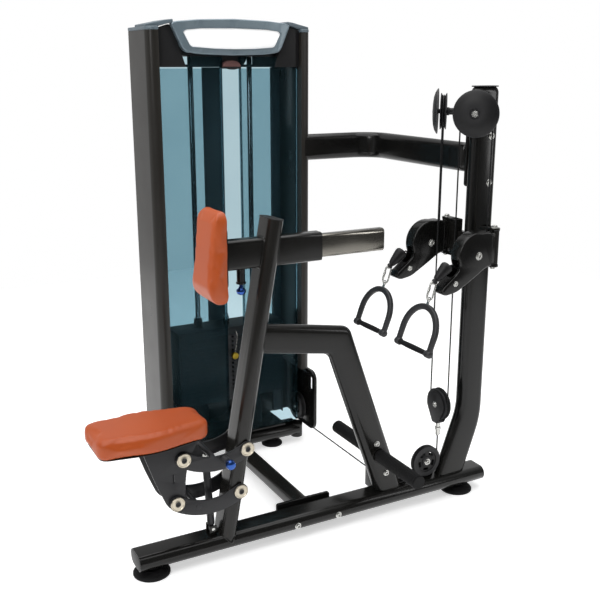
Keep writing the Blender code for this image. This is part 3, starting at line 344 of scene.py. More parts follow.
def outline(loops, normal, low, high, bevel=0.001, segments=2, angle=40):
    """Extrude a flat outline, with holes as further loops, along its normal axis."""
    curve = bpy.data.curves.new("outline", "CURVE")
    curve.dimensions = "2D"
    curve.fill_mode = "BOTH"
    curve.extrude = (high - low) / 2
    for loop in loops:
        spline = curve.splines.new("POLY")
        spline.points.add(len(loop) - 1)
        for point, (a, b) in zip(spline.points, loop):
            point.co = (a, b, 0, 1)
        spline.use_cyclic_u = True
    made = bpy.data.objects.new("outline", curve)
    bpy.context.scene.collection.objects.link(made)
    middle = (low + high) / 2
    offset = {"x": (middle, 0, 0), "y": (0, middle, 0), "z": (0, 0, middle)}[normal]
    made.matrix_world = Matrix.Translation(offset) @ PLANES[normal]
    applied(made)
    bpy.ops.object.mode_set(mode="EDIT")
    bpy.ops.mesh.select_all(action="SELECT")
    bpy.ops.mesh.remove_doubles(threshold=0.00001)
    bpy.ops.mesh.dissolve_limited(angle_limit=math.radians(0.5))
    bpy.ops.mesh.normals_make_consistent(inside=False)
    bpy.ops.object.mode_set(mode="OBJECT")
    return bevelled(made, bevel, segments, angle)


def sweep(points, radius, closed=False, resolution=5):
    """A round section swept along a smooth list of points."""
    curve = bpy.data.curves.new("sweep", "CURVE")
    curve.dimensions = "3D"
    curve.bevel_depth = radius
    curve.bevel_resolution = resolution
    curve.use_fill_caps = not closed
    spline = curve.splines.new("POLY")
    spline.points.add(len(points) - 1)
    for point, co in zip(spline.points, points):
        point.co = (*co, 1)
    spline.use_cyclic_u = closed
    made = bpy.data.objects.new("sweep", curve)
    bpy.context.scene.collection.objects.link(made)
    applied(made)
    bpy.ops.object.mode_set(mode="EDIT")
    bpy.ops.mesh.select_all(action="SELECT")
    bpy.ops.mesh.remove_doubles(threshold=0.00001)
    bpy.ops.mesh.normals_make_consistent(inside=False)
    bpy.ops.object.mode_set(mode="OBJECT")
    return made


def boolean(thing, other, operation="DIFFERENCE"):
    modifier = thing.modifiers.new("Boolean", "BOOLEAN")
    modifier.operation = operation
    modifier.solver = "EXACT"
    modifier.object = other
    applied(thing)
    bpy.data.objects.remove(other, do_unlink=True)
    return thing


def cut(thing, *cutters):
    for cutter in cutters:
        boolean(thing, cutter)
    return thing


def joined(*things):
    bpy.ops.object.select_all(action="DESELECT")
    for thing in things:
        thing.select_set(True)
    bpy.context.view_layer.objects.active = things[0]
    if len(things) > 1:
        bpy.ops.object.join()
    return things[0]


MADE = []


def finish(name, body, material, slot, *things, replaces=(), flat=False, angle=35):
    """Join, shade, name and paint the solids of one piece, and hang it on its CAD body."""
    thing = joined(*things)
    thing.name = thing.data.name = name
    thing.data.materials.clear()
    thing.data.materials.append(material)
    thing.data.transform(TO_CAD)
    only(thing)
    if flat:
        bpy.ops.object.shade_flat()
    else:
        bpy.ops.object.shade_smooth_by_angle(angle=math.radians(angle))
    for modifier in list(thing.modifiers):
        applied(thing)
        break
    if replaces:
        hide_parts(*replaces)
    if body:
        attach(thing, body)
    MADE.append(thing)
    print(name, "on", body, len(thing.data.polygons), "faces")
    return thing


def arc(centre, radius, start, end, steps=16):
    points = []
    for i in range(steps + 1):
        angle = math.radians(start + (end - start) * i / steps)
        points.append((centre[0] + radius * math.cos(angle), centre[1] + radius * math.sin(angle)))
    return points


def stadium(wide, thin, steps=24):
    r = thin / 2
    c = wide / 2 - r
    return arc((c, 0), r, -90, 90, steps) + arc((-c, 0), r, 90, 270, steps)


def rounded(low, high, radius, steps=8):
    (a0, b0), (a1, b1) = low, high
    r = radius
    return (arc((a1 - r, b1 - r), r, 0, 90, steps) + arc((a0 + r, b1 - r), r, 90, 180, steps)
            + arc((a0 + r, b0 + r), r, 180, 270, steps) + arc((a1 - r, b0 + r), r, 270, 360, steps))


def shifted(points, a, b):
    return [(p + a, q + b) for p, q in points]


def swapped(points):
    return [(q, p) for p, q in reversed(points)]


def softened(points, radius, steps=6):
    """Round the corners of a polygon: radius is one number or one per corner."""
    result = []
    count = len(points)
    for i, corner in enumerate(points):
        r = radius[i] if isinstance(radius, (list, tuple)) else radius
        here = Vector(corner)
        before, after = Vector(points[i - 1]) - here, Vector(points[(i + 1) % count]) - here
        reach = min(r, before.length * 0.48, after.length * 0.48)
        if reach < 1e-5:
            result.append(tuple(here))
            continue
        a, b = here + before.normalized() * reach, here + after.normalized() * reach
        for k in range(steps + 1):
            t = k / steps
            p = a * (1 - t) ** 2 + here * 2 * t * (1 - t) + b * t ** 2
            result.append((p.x, p.y))
    return result


def bolt(place, direction, radius=0.0085, washer=0.0125, height=0.007):
    """Socket-head screw on a washer: returns the bright solids, standing on a face."""
    d = Vector(direction).normalized()
    p = Vector(place)
    disc = lathe([(0, 0.002), (washer - 0.0006, 0.002), (washer, 0.0014), (washer, 0), (0, 0)], p, d, 32)
    head = lathe([(0, 0.0025), (radius * 0.45, 0.0025), (radius * 0.52, height - 0.0008),
                  (radius * 0.60, height),
                  (radius - 0.0010, height), (radius, height - 0.0012), (radius, 0.001), (0, 0.001)], p, d,
                 32)
    return [disc, head]


# %% [markdown]
# A plain white sheet under the feet catches the soft contact shadow.

# %% Floor
bpy.ops.mesh.primitive_plane_add(size=7, location=(0, 0, -0.0005))
floor = bpy.context.object
floor.name = "floor"
floor.data.materials.append(FLOOR)
floor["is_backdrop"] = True

# %% [markdown]
# ## Base: rail, feet, brackets
# The rail is a flat-oval tube with plastic plugs in its open ends.

# %% Base rail
RAIL_Z, RAIL_TOP = 0.055, 0.080
rail = outline([shifted(stadium(0.096, 0.050), 0, RAIL_Z), shifted(stadium(0.090, 0.044), 0, RAIL_Z)],
               "x", 0, 1.290, 0.0006, 2)
lugs = [box((0.233, s * 0.0145 - 0.002, RAIL_TOP - 0.002), (0.257, s * 0.0145 + 0.002, 0.111), 0.001)
        for s in (-1, 1)]
low_plate = outline([softened([(1.014, 0.079), (1.105, 0.079), (1.103, 0.150), (1.076, 0.166), (1.042, 0.166),
                               (1.020, 0.121)], [0, 0, 0.012, 0.02, 0.02, 0.01])], "y", 0.0125, 0.0185)
corner_top = box((0.8605, 0.0262, 0.1045), (0.984, 0.080, 0.1105), 0.002)
corner_side = outline([softened([(0.0262, 0.062), (0.080, 0.062), (0.080, 0.150), (0.062, 0.168),
                                 (0.0262, 0.120)], [0, 0.004, 0.01, 0.012, 0.006])], "x", 0.860, 0.866)
low_axle = rod((1.059, -0.012, 0.141), (1.059, 0.016, 0.141), 0.0075)
corner_axle = rod((0.953, 0.048, 0.084), (0.953, 0.048, 0.112), 0.0075)
finish("base_rail_tube", "frame", POWDER, "gloss_black", rail, *lugs, low_plate, corner_top, corner_side,
       replaces=["base_rail"])
finish("rail_pulley_axles", "frame", ZINC, "gloss_black", low_axle, corner_axle,
       *bolt((1.059, -0.0112, 0.141), (0, -1, 0), 0.008, 0.012), *bolt((0.953, 0.048, 0.1105), (0, 0, 1)))
for name, x0, x1 in (("rail_plug_seat_end", -0.0008, 0.010), ("rail_plug_post_end", 1.280, 1.2908)):
    plug = outline([shifted(stadium(0.0895, 0.0435), 0, RAIL_Z)], "x", x0, x1, 0.0012)
    finish(name, "frame", NYLON, "gloss_black", plug)
rail_bolts = []
for x in (0.525, 0.677):
    rail_bolts += bolt((x, -0.0478, 0.052), (0, -1, 0), 0.0075, 0.0110)
finish("rail_bolts", "frame", ZINC, "gloss_black", *rail_bolts)

# %% [markdown]
# Moulded rubber pads with a stepped top.  A profile turned round the bolt gives each step for free;
# the tower's pair is smaller, so the radius drives the profile.

# %% Feet
for name, x, y, r in (("foot_seat_end", 0.048, 0, 0.0565), ("foot_post_end", 1.200, 0, 0.0565),
                      ("foot_tower_left", 0.450, 0.665, 0.042), ("foot_tower_right", 0.784, 0.665, 0.042)):
    profile = [(0, 0.0297), (0.020, 0.0297), (0.021, 0.0285), (0.022, 0.0215), (0.026, 0.0205)]
    for k in range(5):
        a = 0.030 / 0.0565 * r + (r * 0.40) * k / 5
        z = 0.0195 - 0.0105 * k / 5
        profile += [(a, z), (a + r * 0.045, z - 0.0002), (a + r * 0.050, z - 0.0016)]
    profile += [(r - 0.001, 0.0075), (r, 0.0060), (r, 0.0008), (r - 0.0008, 0), (0, 0)]
    finish(name + "_rubber", "frame", RUBBER, "rubber_black", lathe(profile, (x, y, 0), (0, 0, 1), 64),
           replaces=[name])

# %% [markdown]
# ## Seat column, sleeve and chest pad
# The column leans back ten degrees and the sleeve of the chrome tube is welded through its head.

# %% Seat column
LEAN = math.radians(10)
COLUMN_X = 0.291


def column_solid(grow=0.0, start=-0.020, end=0.987, wall=0.0):
    loops = [swapped(stadium(0.096 + 2 * grow, 0.050 + 2 * grow))]
    if wall:
        loops.append(swapped(stadium(0.096 - 2 * wall, 0.050 - 2 * wall)))
    solid = outline(loops, "z", start, end, 0.0)
    solid.matrix_world = Matrix.Translation((COLUMN_X, 0, RAIL_TOP)) @ Matrix.Rotation(LEAN, 4, "Y")
    return applied(solid)


def column_face(z, y, front):
    """x of the column's face at a height and a distance from its middle."""
    middle = COLUMN_X + (z - RAIL_TOP) * math.tan(LEAN)
    flat = 0.025 if abs(y) <= 0.023 else math.sqrt(max(0.025 ** 2 - (abs(y) - 0.023) ** 2, 0))
    return middle + (flat if front else -flat) / math.cos(LEAN)


rail_tool = outline([shifted(stadium(0.0964, 0.0504), 0, RAIL_Z)], "x", -0.05, 1.35, 0)
column = boolean(column_solid(), rail_tool)
sleeve = outline([rounded((-0.025, 0.9115), (0.025, 0.9995), 0.012),
                  rounded((-0.021, 0.9155), (0.021, 0.9955), 0.010)],
                 "x", 0.312, 0.622, 0.0008)
hole = outline([rounded((-0.0245, 0.912), (0.0245, 0.999), 0.012)], "x", 0.25, 0.70, 0)
boolean(column, hole)
housing = lathe([(0.0055, 0.9125), (0.0125, 0.9125), (0.0125, 0.872), (0.0150, 0.870), (0.0150, 0.8665),
                 (0.0138, 0.8655), (0.0055, 0.8655), (0.0055, 0.9125)], (0.361, 0, 0), (0, 0, 1), 40)
beads = []
for front in (True, False):
    loop = [(column_face(z, y, front), y * 1.03, z) for y,
            z in rounded((-0.0252, 0.9113), (0.0252, 0.9997), 0.012, 6)]
    beads.append(sweep(loop, 0.0034, True, 3))
foot_bead = [(COLUMN_X + 0.026 * math.cos(t), 0.0492 * math.sin(t), 0) for t in
             [2 * math.pi * k / 48 for k in range(48)]]
foot_bead = [(x, y, RAIL_Z + math.sqrt(max(0.0252 ** 2 - max(abs(y) - 0.023, 0) ** 2, 1e-6)) + 0.001)
             for x, y, _ in foot_bead]
beads.append(sweep(foot_bead, 0.0034, True, 3))
finish("seat_column_tube", "frame", POWDER, "gloss_black", column, sleeve, housing, *beads,
       replaces=["seat_column"])
cap_place = Matrix.Translation((COLUMN_X, 0, RAIL_TOP)) @ Matrix.Rotation(LEAN, 4, "Y")
cap = outline([swapped(stadium(0.0975, 0.0515))], "z", 0.9868, 0.9900, 0.0014)
cap.matrix_world = cap_place
finish("column_cap", "frame", NYLON, "gloss_black", applied(cap))

# %% [markdown]
# Each link turns on a plain pin held by a large brushed washer.  The column's and the bracket's
# pins are the same piece at two places, so one function makes them.

# %% Pivot pins with their big washers, on the column and on the seat bracket
PIVOTS = ((0.346, 0.365), (0.322, 0.230))
REACH = (-0.204, 0.008)


def pivot_pin(name, body, x, z):
    """Pin through both link plates, with a dished washer and a socket screw at each end."""
    shaft = rod((x, -0.0600, z), (x, 0.0600, z), 0.008)
    rings, heads = [], []
    for s in (-1, 1):
        profile = [(0.0085, 0.0052), (0.0100, 0.0046), (0.0115, 0.0040), (0.0172, 0.0036), (0.0185, 0.0052),
                   (0.0205, 0.0052), (0.0220, 0.0038), (0.0220, 0.0002), (0.0085, 0.0002), (0.0085, 0.0052)]
        rings.append(lathe(profile, (x, s * 0.0589, z), (0, s, 0), 64))
        head = [(0.0, 0.0026), (0.0044, 0.0026), (0.0046, 0.0048), (0.0080, 0.0048), (0.0086, 0.0040),
                (0.0086, 0.0008), (0.0, 0.0008)]
        heads.append(lathe(head, (x, s * 0.0589, z), (0, s, 0), 40))
    finish(name + "_washers", body, WASHER, "satin_black", *rings)
    return finish(name, body, SATIN, "satin_black", shaft, *heads)


for word, (x, z) in zip(("upper", "lower"), PIVOTS):
    pivot_pin("column_pivot_" + word, "frame", x, z)
    pivot_pin("seat_pivot_" + word, "seat", x + REACH[0], z + REACH[1])

# %% [markdown]
# A chromed rectangular tube slides in a nylon liner.  Nested outlines keep its wall real at the
# open end.

# %% Sliding chrome tube and its plate
tube = outline([rounded((-0.019, 0.9195), (0.019, 0.9915), 0.012),
                rounded((-0.0165, 0.922), (0.0165, 0.989), 0.0095)],
               "x", 0.300, 0.849, 0.0006)
finish("pad_slide_tube", "pad", CHROME, "chrome", tube, replaces=["pad_tube"])
liner = outline([rounded((-0.0207, 0.9158), (0.0207, 0.9952), 0.010),
                 rounded((-0.0192, 0.9193), (0.0192, 0.9917), 0.012)],
                "x", 0.606, 0.6245, 0.0005)
finish("sleeve_liner", "frame", NYLON, "gloss_black", liner)
finish("pad_slide_plug", "pad", NYLON, "gloss_black",
       outline([rounded((-0.0163, 0.9222), (0.0163, 0.9888), 0.009)], "x", 0.8425, 0.8485, 0.001))
plate = outline([rounded((-0.050, 0.871), (0.050, 1.040), 0.010)], "x", 0.2945, 0.3005, 0.001)
finish("pad_backing_plate", "pad", POWDER, "gloss_black", plate)


# %% [markdown]
# ## Pull pins
# A waisted blue knob on a bright shaft; each comes out of its housing against a spring.


# %% Pull pins
def pull_pin(name, body, node, knob_end, direction, radius, shaft_length, finish_material, slot):
    k = radius
    profile = [(0, k * 2.3), (k * 0.34, k * 2.3), (k * 0.36, k * 1.9), (k * 0.50, k * 1.55),
               (k * 0.62, k * 1.35),
               (k * 0.95, k * 1.05), (k, k * 0.85), (k * 0.97, k * 0.55), (k * 0.80, k * 0.22),
               (k * 0.45, k * 0.05),
               (0, 0)]
    knob = lathe(profile, knob_end, direction, 48)
    d = Vector(direction).normalized()
    start = Vector(knob_end) + d * k * 1.8
    shaft = rod(start, Vector(knob_end) + d * shaft_length, 0.0046)
    finish(name + "_knob", body, finish_material, slot, knob, replaces=[node])
    finish(name + "_shaft", body, ZINC, slot, shaft)


pull_pin("pad_pin", "pad_lock", "pad_pin", (0.361, 0, 0.832), (0, 0, 1), 0.0145, 0.084, BLUE, "blue_anodised")
pull_pin("seat_pin", "seat_lock", "seat_pin", (0.270, -0.118, 0.350), (0, 1, 0), 0.0155, 0.055, BLUE,
         "blue_anodised")

# %% [markdown]
# ## Front frame, foot bar and cable post
# One bent flat-sided tube carries the foot bar; the post bends forward into the rail.

# %% Front frame
beam_line = softened([(0.400, 0.7388), (0.732, 0.6837), (0.9574, 0.055), (0.8554, 0.055), (0.6591, 0.6025),
                      (0.400, 0.6455)], 0)
front = outline([beam_line], "y", -0.025, 0.025, 0.0225, 6, 60)
tool = outline([shifted(stadium(0.0966, 0.0506), 0, RAIL_Z)], "x", -0.05, 1.35, 0)
cut(front, tool, column_solid(0.0002, -0.05, 1.1),
    box((0.880, -0.012, RAIL_TOP - 0.01), (0.990, 0.040, 0.108), 0))
beam_bead = [(column_face(z, y, True) - 0.0005, y, z) for y,
             z in rounded((-0.0252, 0.6475), (0.0252, 0.7400), 0.022, 8)]
finish("front_frame_tube", "frame", POWDER, "gloss_black", front, sweep(beam_bead, 0.0032, True, 3),
       replaces=["front_frame"])
leg_bolts = bolt((0.8365, -0.0248, 0.262), (0, -1, 0), 0.0075,
                 0.0105) + bolt((0.877, -0.0248, 0.147), (0, -1, 0), 0.0075, 0.0105)
finish("leg_bolts", "frame", ZINC, "gloss_black", *leg_bolts)

# %% [markdown]
# Rubber sleeves pushed over a steel bar.  The grip rings are a repeating step in the turned
# profile, not a bump, so they show in outline.

# %% Foot bar: ribbed rubber pegs on a steel bar
PEG = (0.848, 0, 0.218)
ribs = [(0.0118, -0.0262), (0.0205, -0.0262), (0.0220, -0.0275)]
y = -0.030
while y > -0.244:
    ribs += [(0.0230, y), (0.0230, y - 0.0044), (0.0216, y - 0.0052), (0.0216, y - 0.0068),
             (0.0230, y - 0.0076)]
    y -= 0.0082
ribs += [(0.0222, -0.2500), (0.0200, -0.2518), (0, -0.2518)]
near_peg = lathe([(r, -h) for r, h in reversed(ribs)], (PEG[0], 0, PEG[2]), (0, -1, 0), 48)
far_peg = lathe([(r, -h) for r, h in reversed(ribs)], (PEG[0], 0, PEG[2]), (0, 1, 0), 48)
finish("foot_pegs", "frame", RUBBER, "rubber_black", near_peg, far_peg, replaces=["foot_bar"])
collars = [lathe([(0.0125, 0.0262), (0.0265, 0.0262), (0.0275, 0.0252), (0.0275, 0.0242), (0.0125, 0.0242)],
                 (PEG[0], 0, PEG[2]), (0, s, 0), 48) for s in (-1, 1)]
finish("foot_bar_core", "frame", POWDER, "gloss_black",
       rod((PEG[0], -0.03, PEG[2]), (PEG[0], 0.03, PEG[2]), 0.0118), *collars)

# %% [markdown]
# Bent flat-oval tube.  It is one side outline with round bends, extruded and bevelled to the
# tube's section, then cut to the rail and for the crossbar.

# %% Cable post
post_line = softened([(1.190, 1.423), (1.190, 0.3138), (1.0933, 0.043), (1.2083, 0.043), (1.286, 0.2700),
                      (1.286, 1.423)],
                     [0, 0.040, 0, 0, 0.055, 0], 8)
post = outline([post_line], "y", -0.025, 0.025, 0.0225, 6, 60)
tool = outline([shifted(stadium(0.0966, 0.0506), 0, RAIL_Z)], "x", -0.05, 1.35, 0)
cut(post, tool, box((1.1985, -0.06, 0.8885), (1.2275, 0.06, 0.9415), 0))
post_trim = box((1.17, -0.05, 1.4195), (1.31, 0.05, 1.50), 0)
cut(post, post_trim)
finish("cable_post_tube", "frame", POWDER, "gloss_black", post, replaces=["cable_post"])
post_cap = outline([shifted(swapped(rounded((-0.0245, -0.0475), (0.0245, 0.0475), 0.0215)), 1.238, 0)], "z",
                   1.4190, 1.4228, 0.0015)
finish("post_cap", "frame", NYLON, "gloss_black", post_cap)
post_bolts = []
for z in (1.263, 1.111):
    post_bolts += bolt((1.254, -0.0249, z), (0, -1, 0), 0.0080, 0.0115)
finish("post_bolts", "frame", ZINC, "gloss_black", *post_bolts)

# %% [markdown]
# The same tube bent in plan, so its outline is drawn from above.  Its end is coped to the column
# by a Boolean, as the real tube is before welding.

# %% Cross brace from the tower to the post, with its bolted flange
brace_line = [(0.880, 0.600), (1.120, 0.600)] + arc((1.120, 0.530), 0.070, 90, 0,
                                                    14)[1:] + [(1.190, 0.0325), (1.240, 0.0325)]
brace_line += arc((1.120, 0.530), 0.120, 0, 90, 18) + [(0.880, 0.650)]
brace = outline([brace_line], "z", 1.142, 1.238, 0.0225, 6, 60)
cut(brace,
    outline([[(0.800, 0.5997)] + arc((0.896, 0.630), 0.0303, 270, 360,
                                     20) + [(0.9263, 0.810), (0.800, 0.810)]],
                   "z", 1.000, 1.400, 0))
flange = outline([rounded((1.196, 1.095), (1.280, 1.285), 0.010)], "y", 0.0253, 0.0345, 0.001)
finish("cross_brace_tube", "frame", POWDER, "gloss_black", brace, flange, replaces=["cross_brace"])

# %% [markdown]
# Welded tube, deck and kick plate, joined to the rail by a bolted flange.

# %% Tower base and the beam to the rail
base = outline([shifted(stadium(0.096, 0.050), 0.665, RAIL_Z)], "x", 0.345, 0.889, 0.0008)
stubs = [rod((x, 0.645, 0.022), (x, 0.645, 0.0812), 0.024, 0.0015) for x in (0.347, 0.887)]
deck = box((0.400, 0.640, 0.070), (0.834, 0.790, 0.0880), 0.0015)
kick_plate = box((0.3675, 0.7815, 0.0870), (0.8665, 0.7840, 0.2350), 0.0006)
link_beam = outline([rounded((0.567, 0.0305), (0.627, 0.0795), 0.018)], "y", 0.0570, 0.640, 0)
rail_flange = outline([rounded((0.497, 0.032), (0.697, 0.088), 0.008)], "y", 0.0483, 0.0580, 0.001)
finish("tower_base_tube", "frame", POWDER, "gloss_black", base, *stubs, deck, kick_plate, link_beam,
       rail_flange, replaces=["tower_base"])
flange_bolts = bolt((0.525, 0.058, 0.060), (0, 1, 0)) + bolt((0.669, 0.058, 0.060), (0, 1, 0))
finish("beam_flange_bolts", "frame", ZINC, "gloss_black", *flange_bolts)

# %% [markdown]
# ## Weight tower
# Two D-section side columns, clear folded panels in front and behind, and the bowed header frame.

# %% Side columns and their grey caps
TOWER_X = 0.617
for word, side in (("left", -1), ("right", 1)):
    outer = TOWER_X + side * 0.309
    inner = outer - side * 0.040

    def section(inset):
        corner = arc((outer - side * 0.030, 0.630), 0.030 - inset, 270, 360 if side > 0 else 180, 20)
        points = [(inner + side * inset, 0.600 + inset)] + corner
        points += [(outer - side * inset, 0.800 - inset), (inner + side * inset, 0.800 - inset)]
        return points if side > 0 else list(reversed(points))

    column = outline([section(0), section(0.003)], "z", 0.0825, 1.600, 0.0005, 1)
    if side > 0:
        cut(column, box((0.860, 0.590, 0.070), (0.940, 0.770, 0.320), 0),
            box((0.800, 0.700, 1.430), (0.915, 0.740, 1.590), 0))
    finish("side_column_" + word + "_skin", "frame", SIDE, "satin_black", column,
           replaces=["side_column_" + word])
    cap = outline([section(-0.0012)], "z", 1.600, 1.612, 0.003, 3)
    finish("side_column_" + word + "_cap", "frame", CAPGREY, "silver_plastic", cap)

# %% [markdown]
# Folded sheet, open below.  Windows are cut for the cable's two drops at the pulleys.

# %% Top channel, its dark front band and the bumper at the head of the slot
top = outline([[(0.640, 1.480), (0.646, 1.480), (0.646, 1.585), (0.794, 1.585), (0.794, 1.480),
                (0.800, 1.480),
                (0.800, 1.591), (0.640, 1.591)]], "x", 0.3485, 0.8855, 0.0008)
for x, half in ((0.454, 0.021), (0.692, 0.017)):
    cut(top, box((x - half, 0.60, 1.489), (x + half, 0.66, 1.519), 0))
cut(top, box((0.480, 0.78, 1.487), (0.850, 0.82, 1.523), 0))
straps = [box((TOWER_X + s * 0.115 - 0.010, 0.6415, 1.5163), (TOWER_X + s * 0.115 + 0.010, 0.7985, 1.526),
              0.001) for s in (-1, 1)]
axles = [rod((x, 0.643, 1.527), (x, 0.797, 1.527), 0.0075) for x in (0.857, 0.665)]
finish("tower_top_channel", "frame", SATIN, "satin_black", top, *straps, *axles, replaces=["tower_top"])
half_round = outline([[(a, 1.4815 + (b - 1.4815) * 0.62) for a,
                       b in arc((TOWER_X, 1.4815), 0.034, 0, 180, 28)]],
                     "y", 0.612, 0.6395, 0.003, 3)
finish("slot_bumper", "frame", BUMPER, "rubber_black", half_round)
sill = box((TOWER_X - 0.036, 0.616, 1.4745), (TOWER_X + 0.036, 0.6395, 1.4808), 0.001)
finish("slot_sill", "frame", NYLON, "satin_black", sill)


# %% [markdown]
# A moulded bezel bowed back in plan.  The photo's plate carries a name; this one stays blank.

# %% Header frame with a blank white plate
def bend_back(thing, reach=0.27, depth=0.045):
    """Sweep a header piece's ends back: y grows with the square of the distance from the middle."""
    for vertex in thing.data.vertices:
        t = (vertex.co.x - TOWER_X) / reach
        vertex.co.y += depth * t * t
    thing.data.update()
    return thing


def subdivided_strip(thing, cuts=24):
    """Slice a solid across x so that it can be bent smoothly."""
    only(thing)
    mesh_edit = bmesh.new()
    mesh_edit.from_mesh(thing.data)
    xs = [v.co.x for v in mesh_edit.verts]
    low, high = min(xs), max(xs)
    for k in range(1, cuts):
        x = low + (high - low) * k / cuts
        bmesh.ops.bisect_plane(mesh_edit, geom=mesh_edit.verts[:] + mesh_edit.edges[:] + mesh_edit.faces[:],
                               plane_co=(x, 0, 0), plane_no=(1, 0, 0))
    mesh_edit.to_mesh(thing.data)
    mesh_edit.free()
    return thing


bezel_outer = [(TOWER_X + a, b) for a, b in
               [(0.0, 1.6400), (-0.130, 1.6360), (-0.205, 1.6290), (-0.224, 1.6235), (-0.214, 1.600),
                (-0.186, 1.540),
                (-0.172, 1.5285), (-0.120, 1.5220), (0.0, 1.5185), (0.120, 1.5220), (0.172, 1.5285),
                (0.186, 1.540),
                (0.214, 1.600), (0.224, 1.6235), (0.205, 1.6290), (0.130, 1.6360)]]
plate_edge = [(TOWER_X + a, b) for a, b in
              [(0.0, 1.6085), (-0.120, 1.6065), (-0.172, 1.6015), (-0.183, 1.5945), (-0.160, 1.5520),
               (-0.152, 1.5465),
               (-0.080, 1.5415), (0.0, 1.5395), (0.080, 1.5415), (0.152, 1.5465), (0.160, 1.5520),
               (0.183, 1.5945),
               (0.172, 1.6015), (0.120, 1.6065)]]


def grown(points, factor):
    return [(TOWER_X + (a - TOWER_X) * factor, 1.575 + (b - 1.575) * (1 + (factor - 1) * 3.2)) for a,
            b in points]


bezel = outline([softened(bezel_outer, 0.012, 5)], "y", 0.588, 0.6165, 0.005, 4)
opening = outline([softened(grown(plate_edge, 1.012), 0.008, 5)], "y", 0.570, 0.5935, 0)
cut(bezel, opening)
bend_back(subdivided_strip(bezel), 0.27, 0.018)
finish("header_bezel_frame", "frame", SILVER, "silver_plastic", bezel, replaces=["header_bezel"], angle=30)
lip = outline([softened(grown(plate_edge, 1.030), 0.008, 5), softened(grown(plate_edge, 1.008), 0.008, 5)],
              "y", 0.5862, 0.592, 0.0014, 2)
bend_back(subdivided_strip(lip), 0.27, 0.018)
finish("header_bezel_lip", "frame", SILVER, "silver_plastic", lip, angle=30)
name_plate = outline([softened(plate_edge, 0.008, 5)], "y", 0.5900, 0.5933, 0.0006)
bend_back(subdivided_strip(name_plate), 0.27, 0.018)
finish("header_plate", "frame", GLOWING_PLATE, "silver_plastic", name_plate, angle=30)


def header_wing(name, side):
    """Swept shoulder between the header and a side column's cap."""
    x0, x1 = TOWER_X + side * 0.215, TOWER_X + side * 0.306
    rows = [(x0, 0.603, 1.6240, 1.6355), (TOWER_X + side * 0.240, 0.609, 1.6185, 1.6330),
            (TOWER_X + side * 0.262, 0.612, 1.6120, 1.6280), (x1, 0.616, 1.6105, 1.6190)]
    vertices, faces = [], []
    for x, y, z0, z1 in rows:
        vertices += [(x, y, z0), (x, y, z1), (x, y + 0.120, z1), (x, y + 0.120, z0)]
    for k in range(3):
        for j in range(4):
            a, b = 4 * k + j, 4 * k + (j + 1) % 4
            faces.append((a, b, b + 4, a + 4))
    faces += [(0, 3, 2, 1), (12, 13, 14, 15)]
    mesh = bpy.data.meshes.new(name)
    mesh.from_pydata(vertices, [], faces)
    made = bpy.data.objects.new(name, mesh)
    bpy.context.scene.collection.objects.link(made)
    only(made)
    bpy.ops.object.mode_set(mode="EDIT")
    bpy.ops.mesh.select_all(action="SELECT")
    bpy.ops.mesh.normals_make_consistent(inside=False)
    bpy.ops.object.mode_set(mode="OBJECT")
    return bevelled(made, 0.003, 3, 25)


for word, side in (("left", -1), ("right", 1)):
    finish("header_wing_" + word, "frame", CAPGREY, "silver_plastic", header_wing("wing", side))
    gusset = outline([softened([(TOWER_X + side * 0.268, 1.480), (TOWER_X + side * 0.168, 1.480),
                                (TOWER_X + side * 0.195, 1.560),
                                (TOWER_X + side * 0.224, 1.620), (TOWER_X + side * 0.268, 1.606)][::-side],
                               0.006)],
                     "y", 0.6175, 0.6385, 0.002, 3)
    finish("header_cheek_" + word, "frame", NYLON, "satin_black", gusset)

# %% [markdown]
# Thermoformed clear sheet.  Each front panel is its true folded section, 3 mm thick, so both walls
# tint the light.

# %% Clear panels: two folded fronts with a slot between them, and the back
for word, side in (("left", -1), ("right", 1)):
    path = [(0.0355, 0.6395), (0.0355, 0.6185), (0.200, 0.6185), (0.2670, 0.6300), (0.2670, 0.6395)]
    inside = [(0.0385, 0.6395), (0.0385, 0.6215), (0.1995, 0.6215), (0.2640, 0.6325), (0.2640, 0.6395)]
    loop = [(TOWER_X + side * a, b) for a, b in path + list(reversed(inside))]
    panel = outline([loop if side < 0 else list(reversed(loop))], "z", 0.100, 1.515, 0)
    finish("front_panel_" + word, "frame", TEAL, "teal_panel", panel, replaces=["front_shroud_" + word],
           angle=20)
back_panel = box((0.3495, 0.7900, 0.100), (0.8845, 0.7930, 1.475), 0)
finish("back_panel", "frame", TEAL, "teal_panel", back_panel, replaces=["rear_shroud"])
spine = box((0.572, 0.7850, 0.0885), (0.646, 0.7892, 1.4790), 0.0015)
finish("back_spine", "frame", BACKRAIL, "satin_black", spine)
rear_posts = [box((x, 0.775, 0.0885), (x + 0.035, 0.7895, 1.4790), 0.0015) for x in (0.3490, 0.8500)]
finish("back_corner_posts", "frame", BACKRAIL, "satin_black", *rear_posts)

# %% [markdown]
# ## Weight stack
# Separate plates drilled for the rods and the selector stem, each with its own selector hole.

# %% Guide rods and bumpers
for word, side in (("left", -1), ("right", 1)):
    x = TOWER_X + side * 0.115
    finish("guide_rod_" + word + "_bar", "frame", ROD, "chrome",
           rod((x, 0.720, 0.0883), (x, 0.720, 1.516), 0.0095, 0.001, 32),
           replaces=["guide_rod_" + word])
    profile = [(0.0115, 0.2247), (0.0255, 0.2247), (0.0262, 0.2230), (0.0240, 0.2050), (0.0300, 0.1950),
               (0.0300, 0.1300),
               (0.0280, 0.1200), (0.0300, 0.1100), (0.0300, 0.0883), (0.0115, 0.0883), (0.0115, 0.2247)]
    finish("stack_bumper_" + word + "_rubber", "frame", RUBBER, "rubber_black",
           lathe(profile, (x, 0.720, 0), (0, 0, 1), 40), replaces=["stack_bumper_" + word])

# %% [markdown]
# Cast plates bored for two rods and the stem.  One plate is cut, and the rest are copies one
# pitch apart.

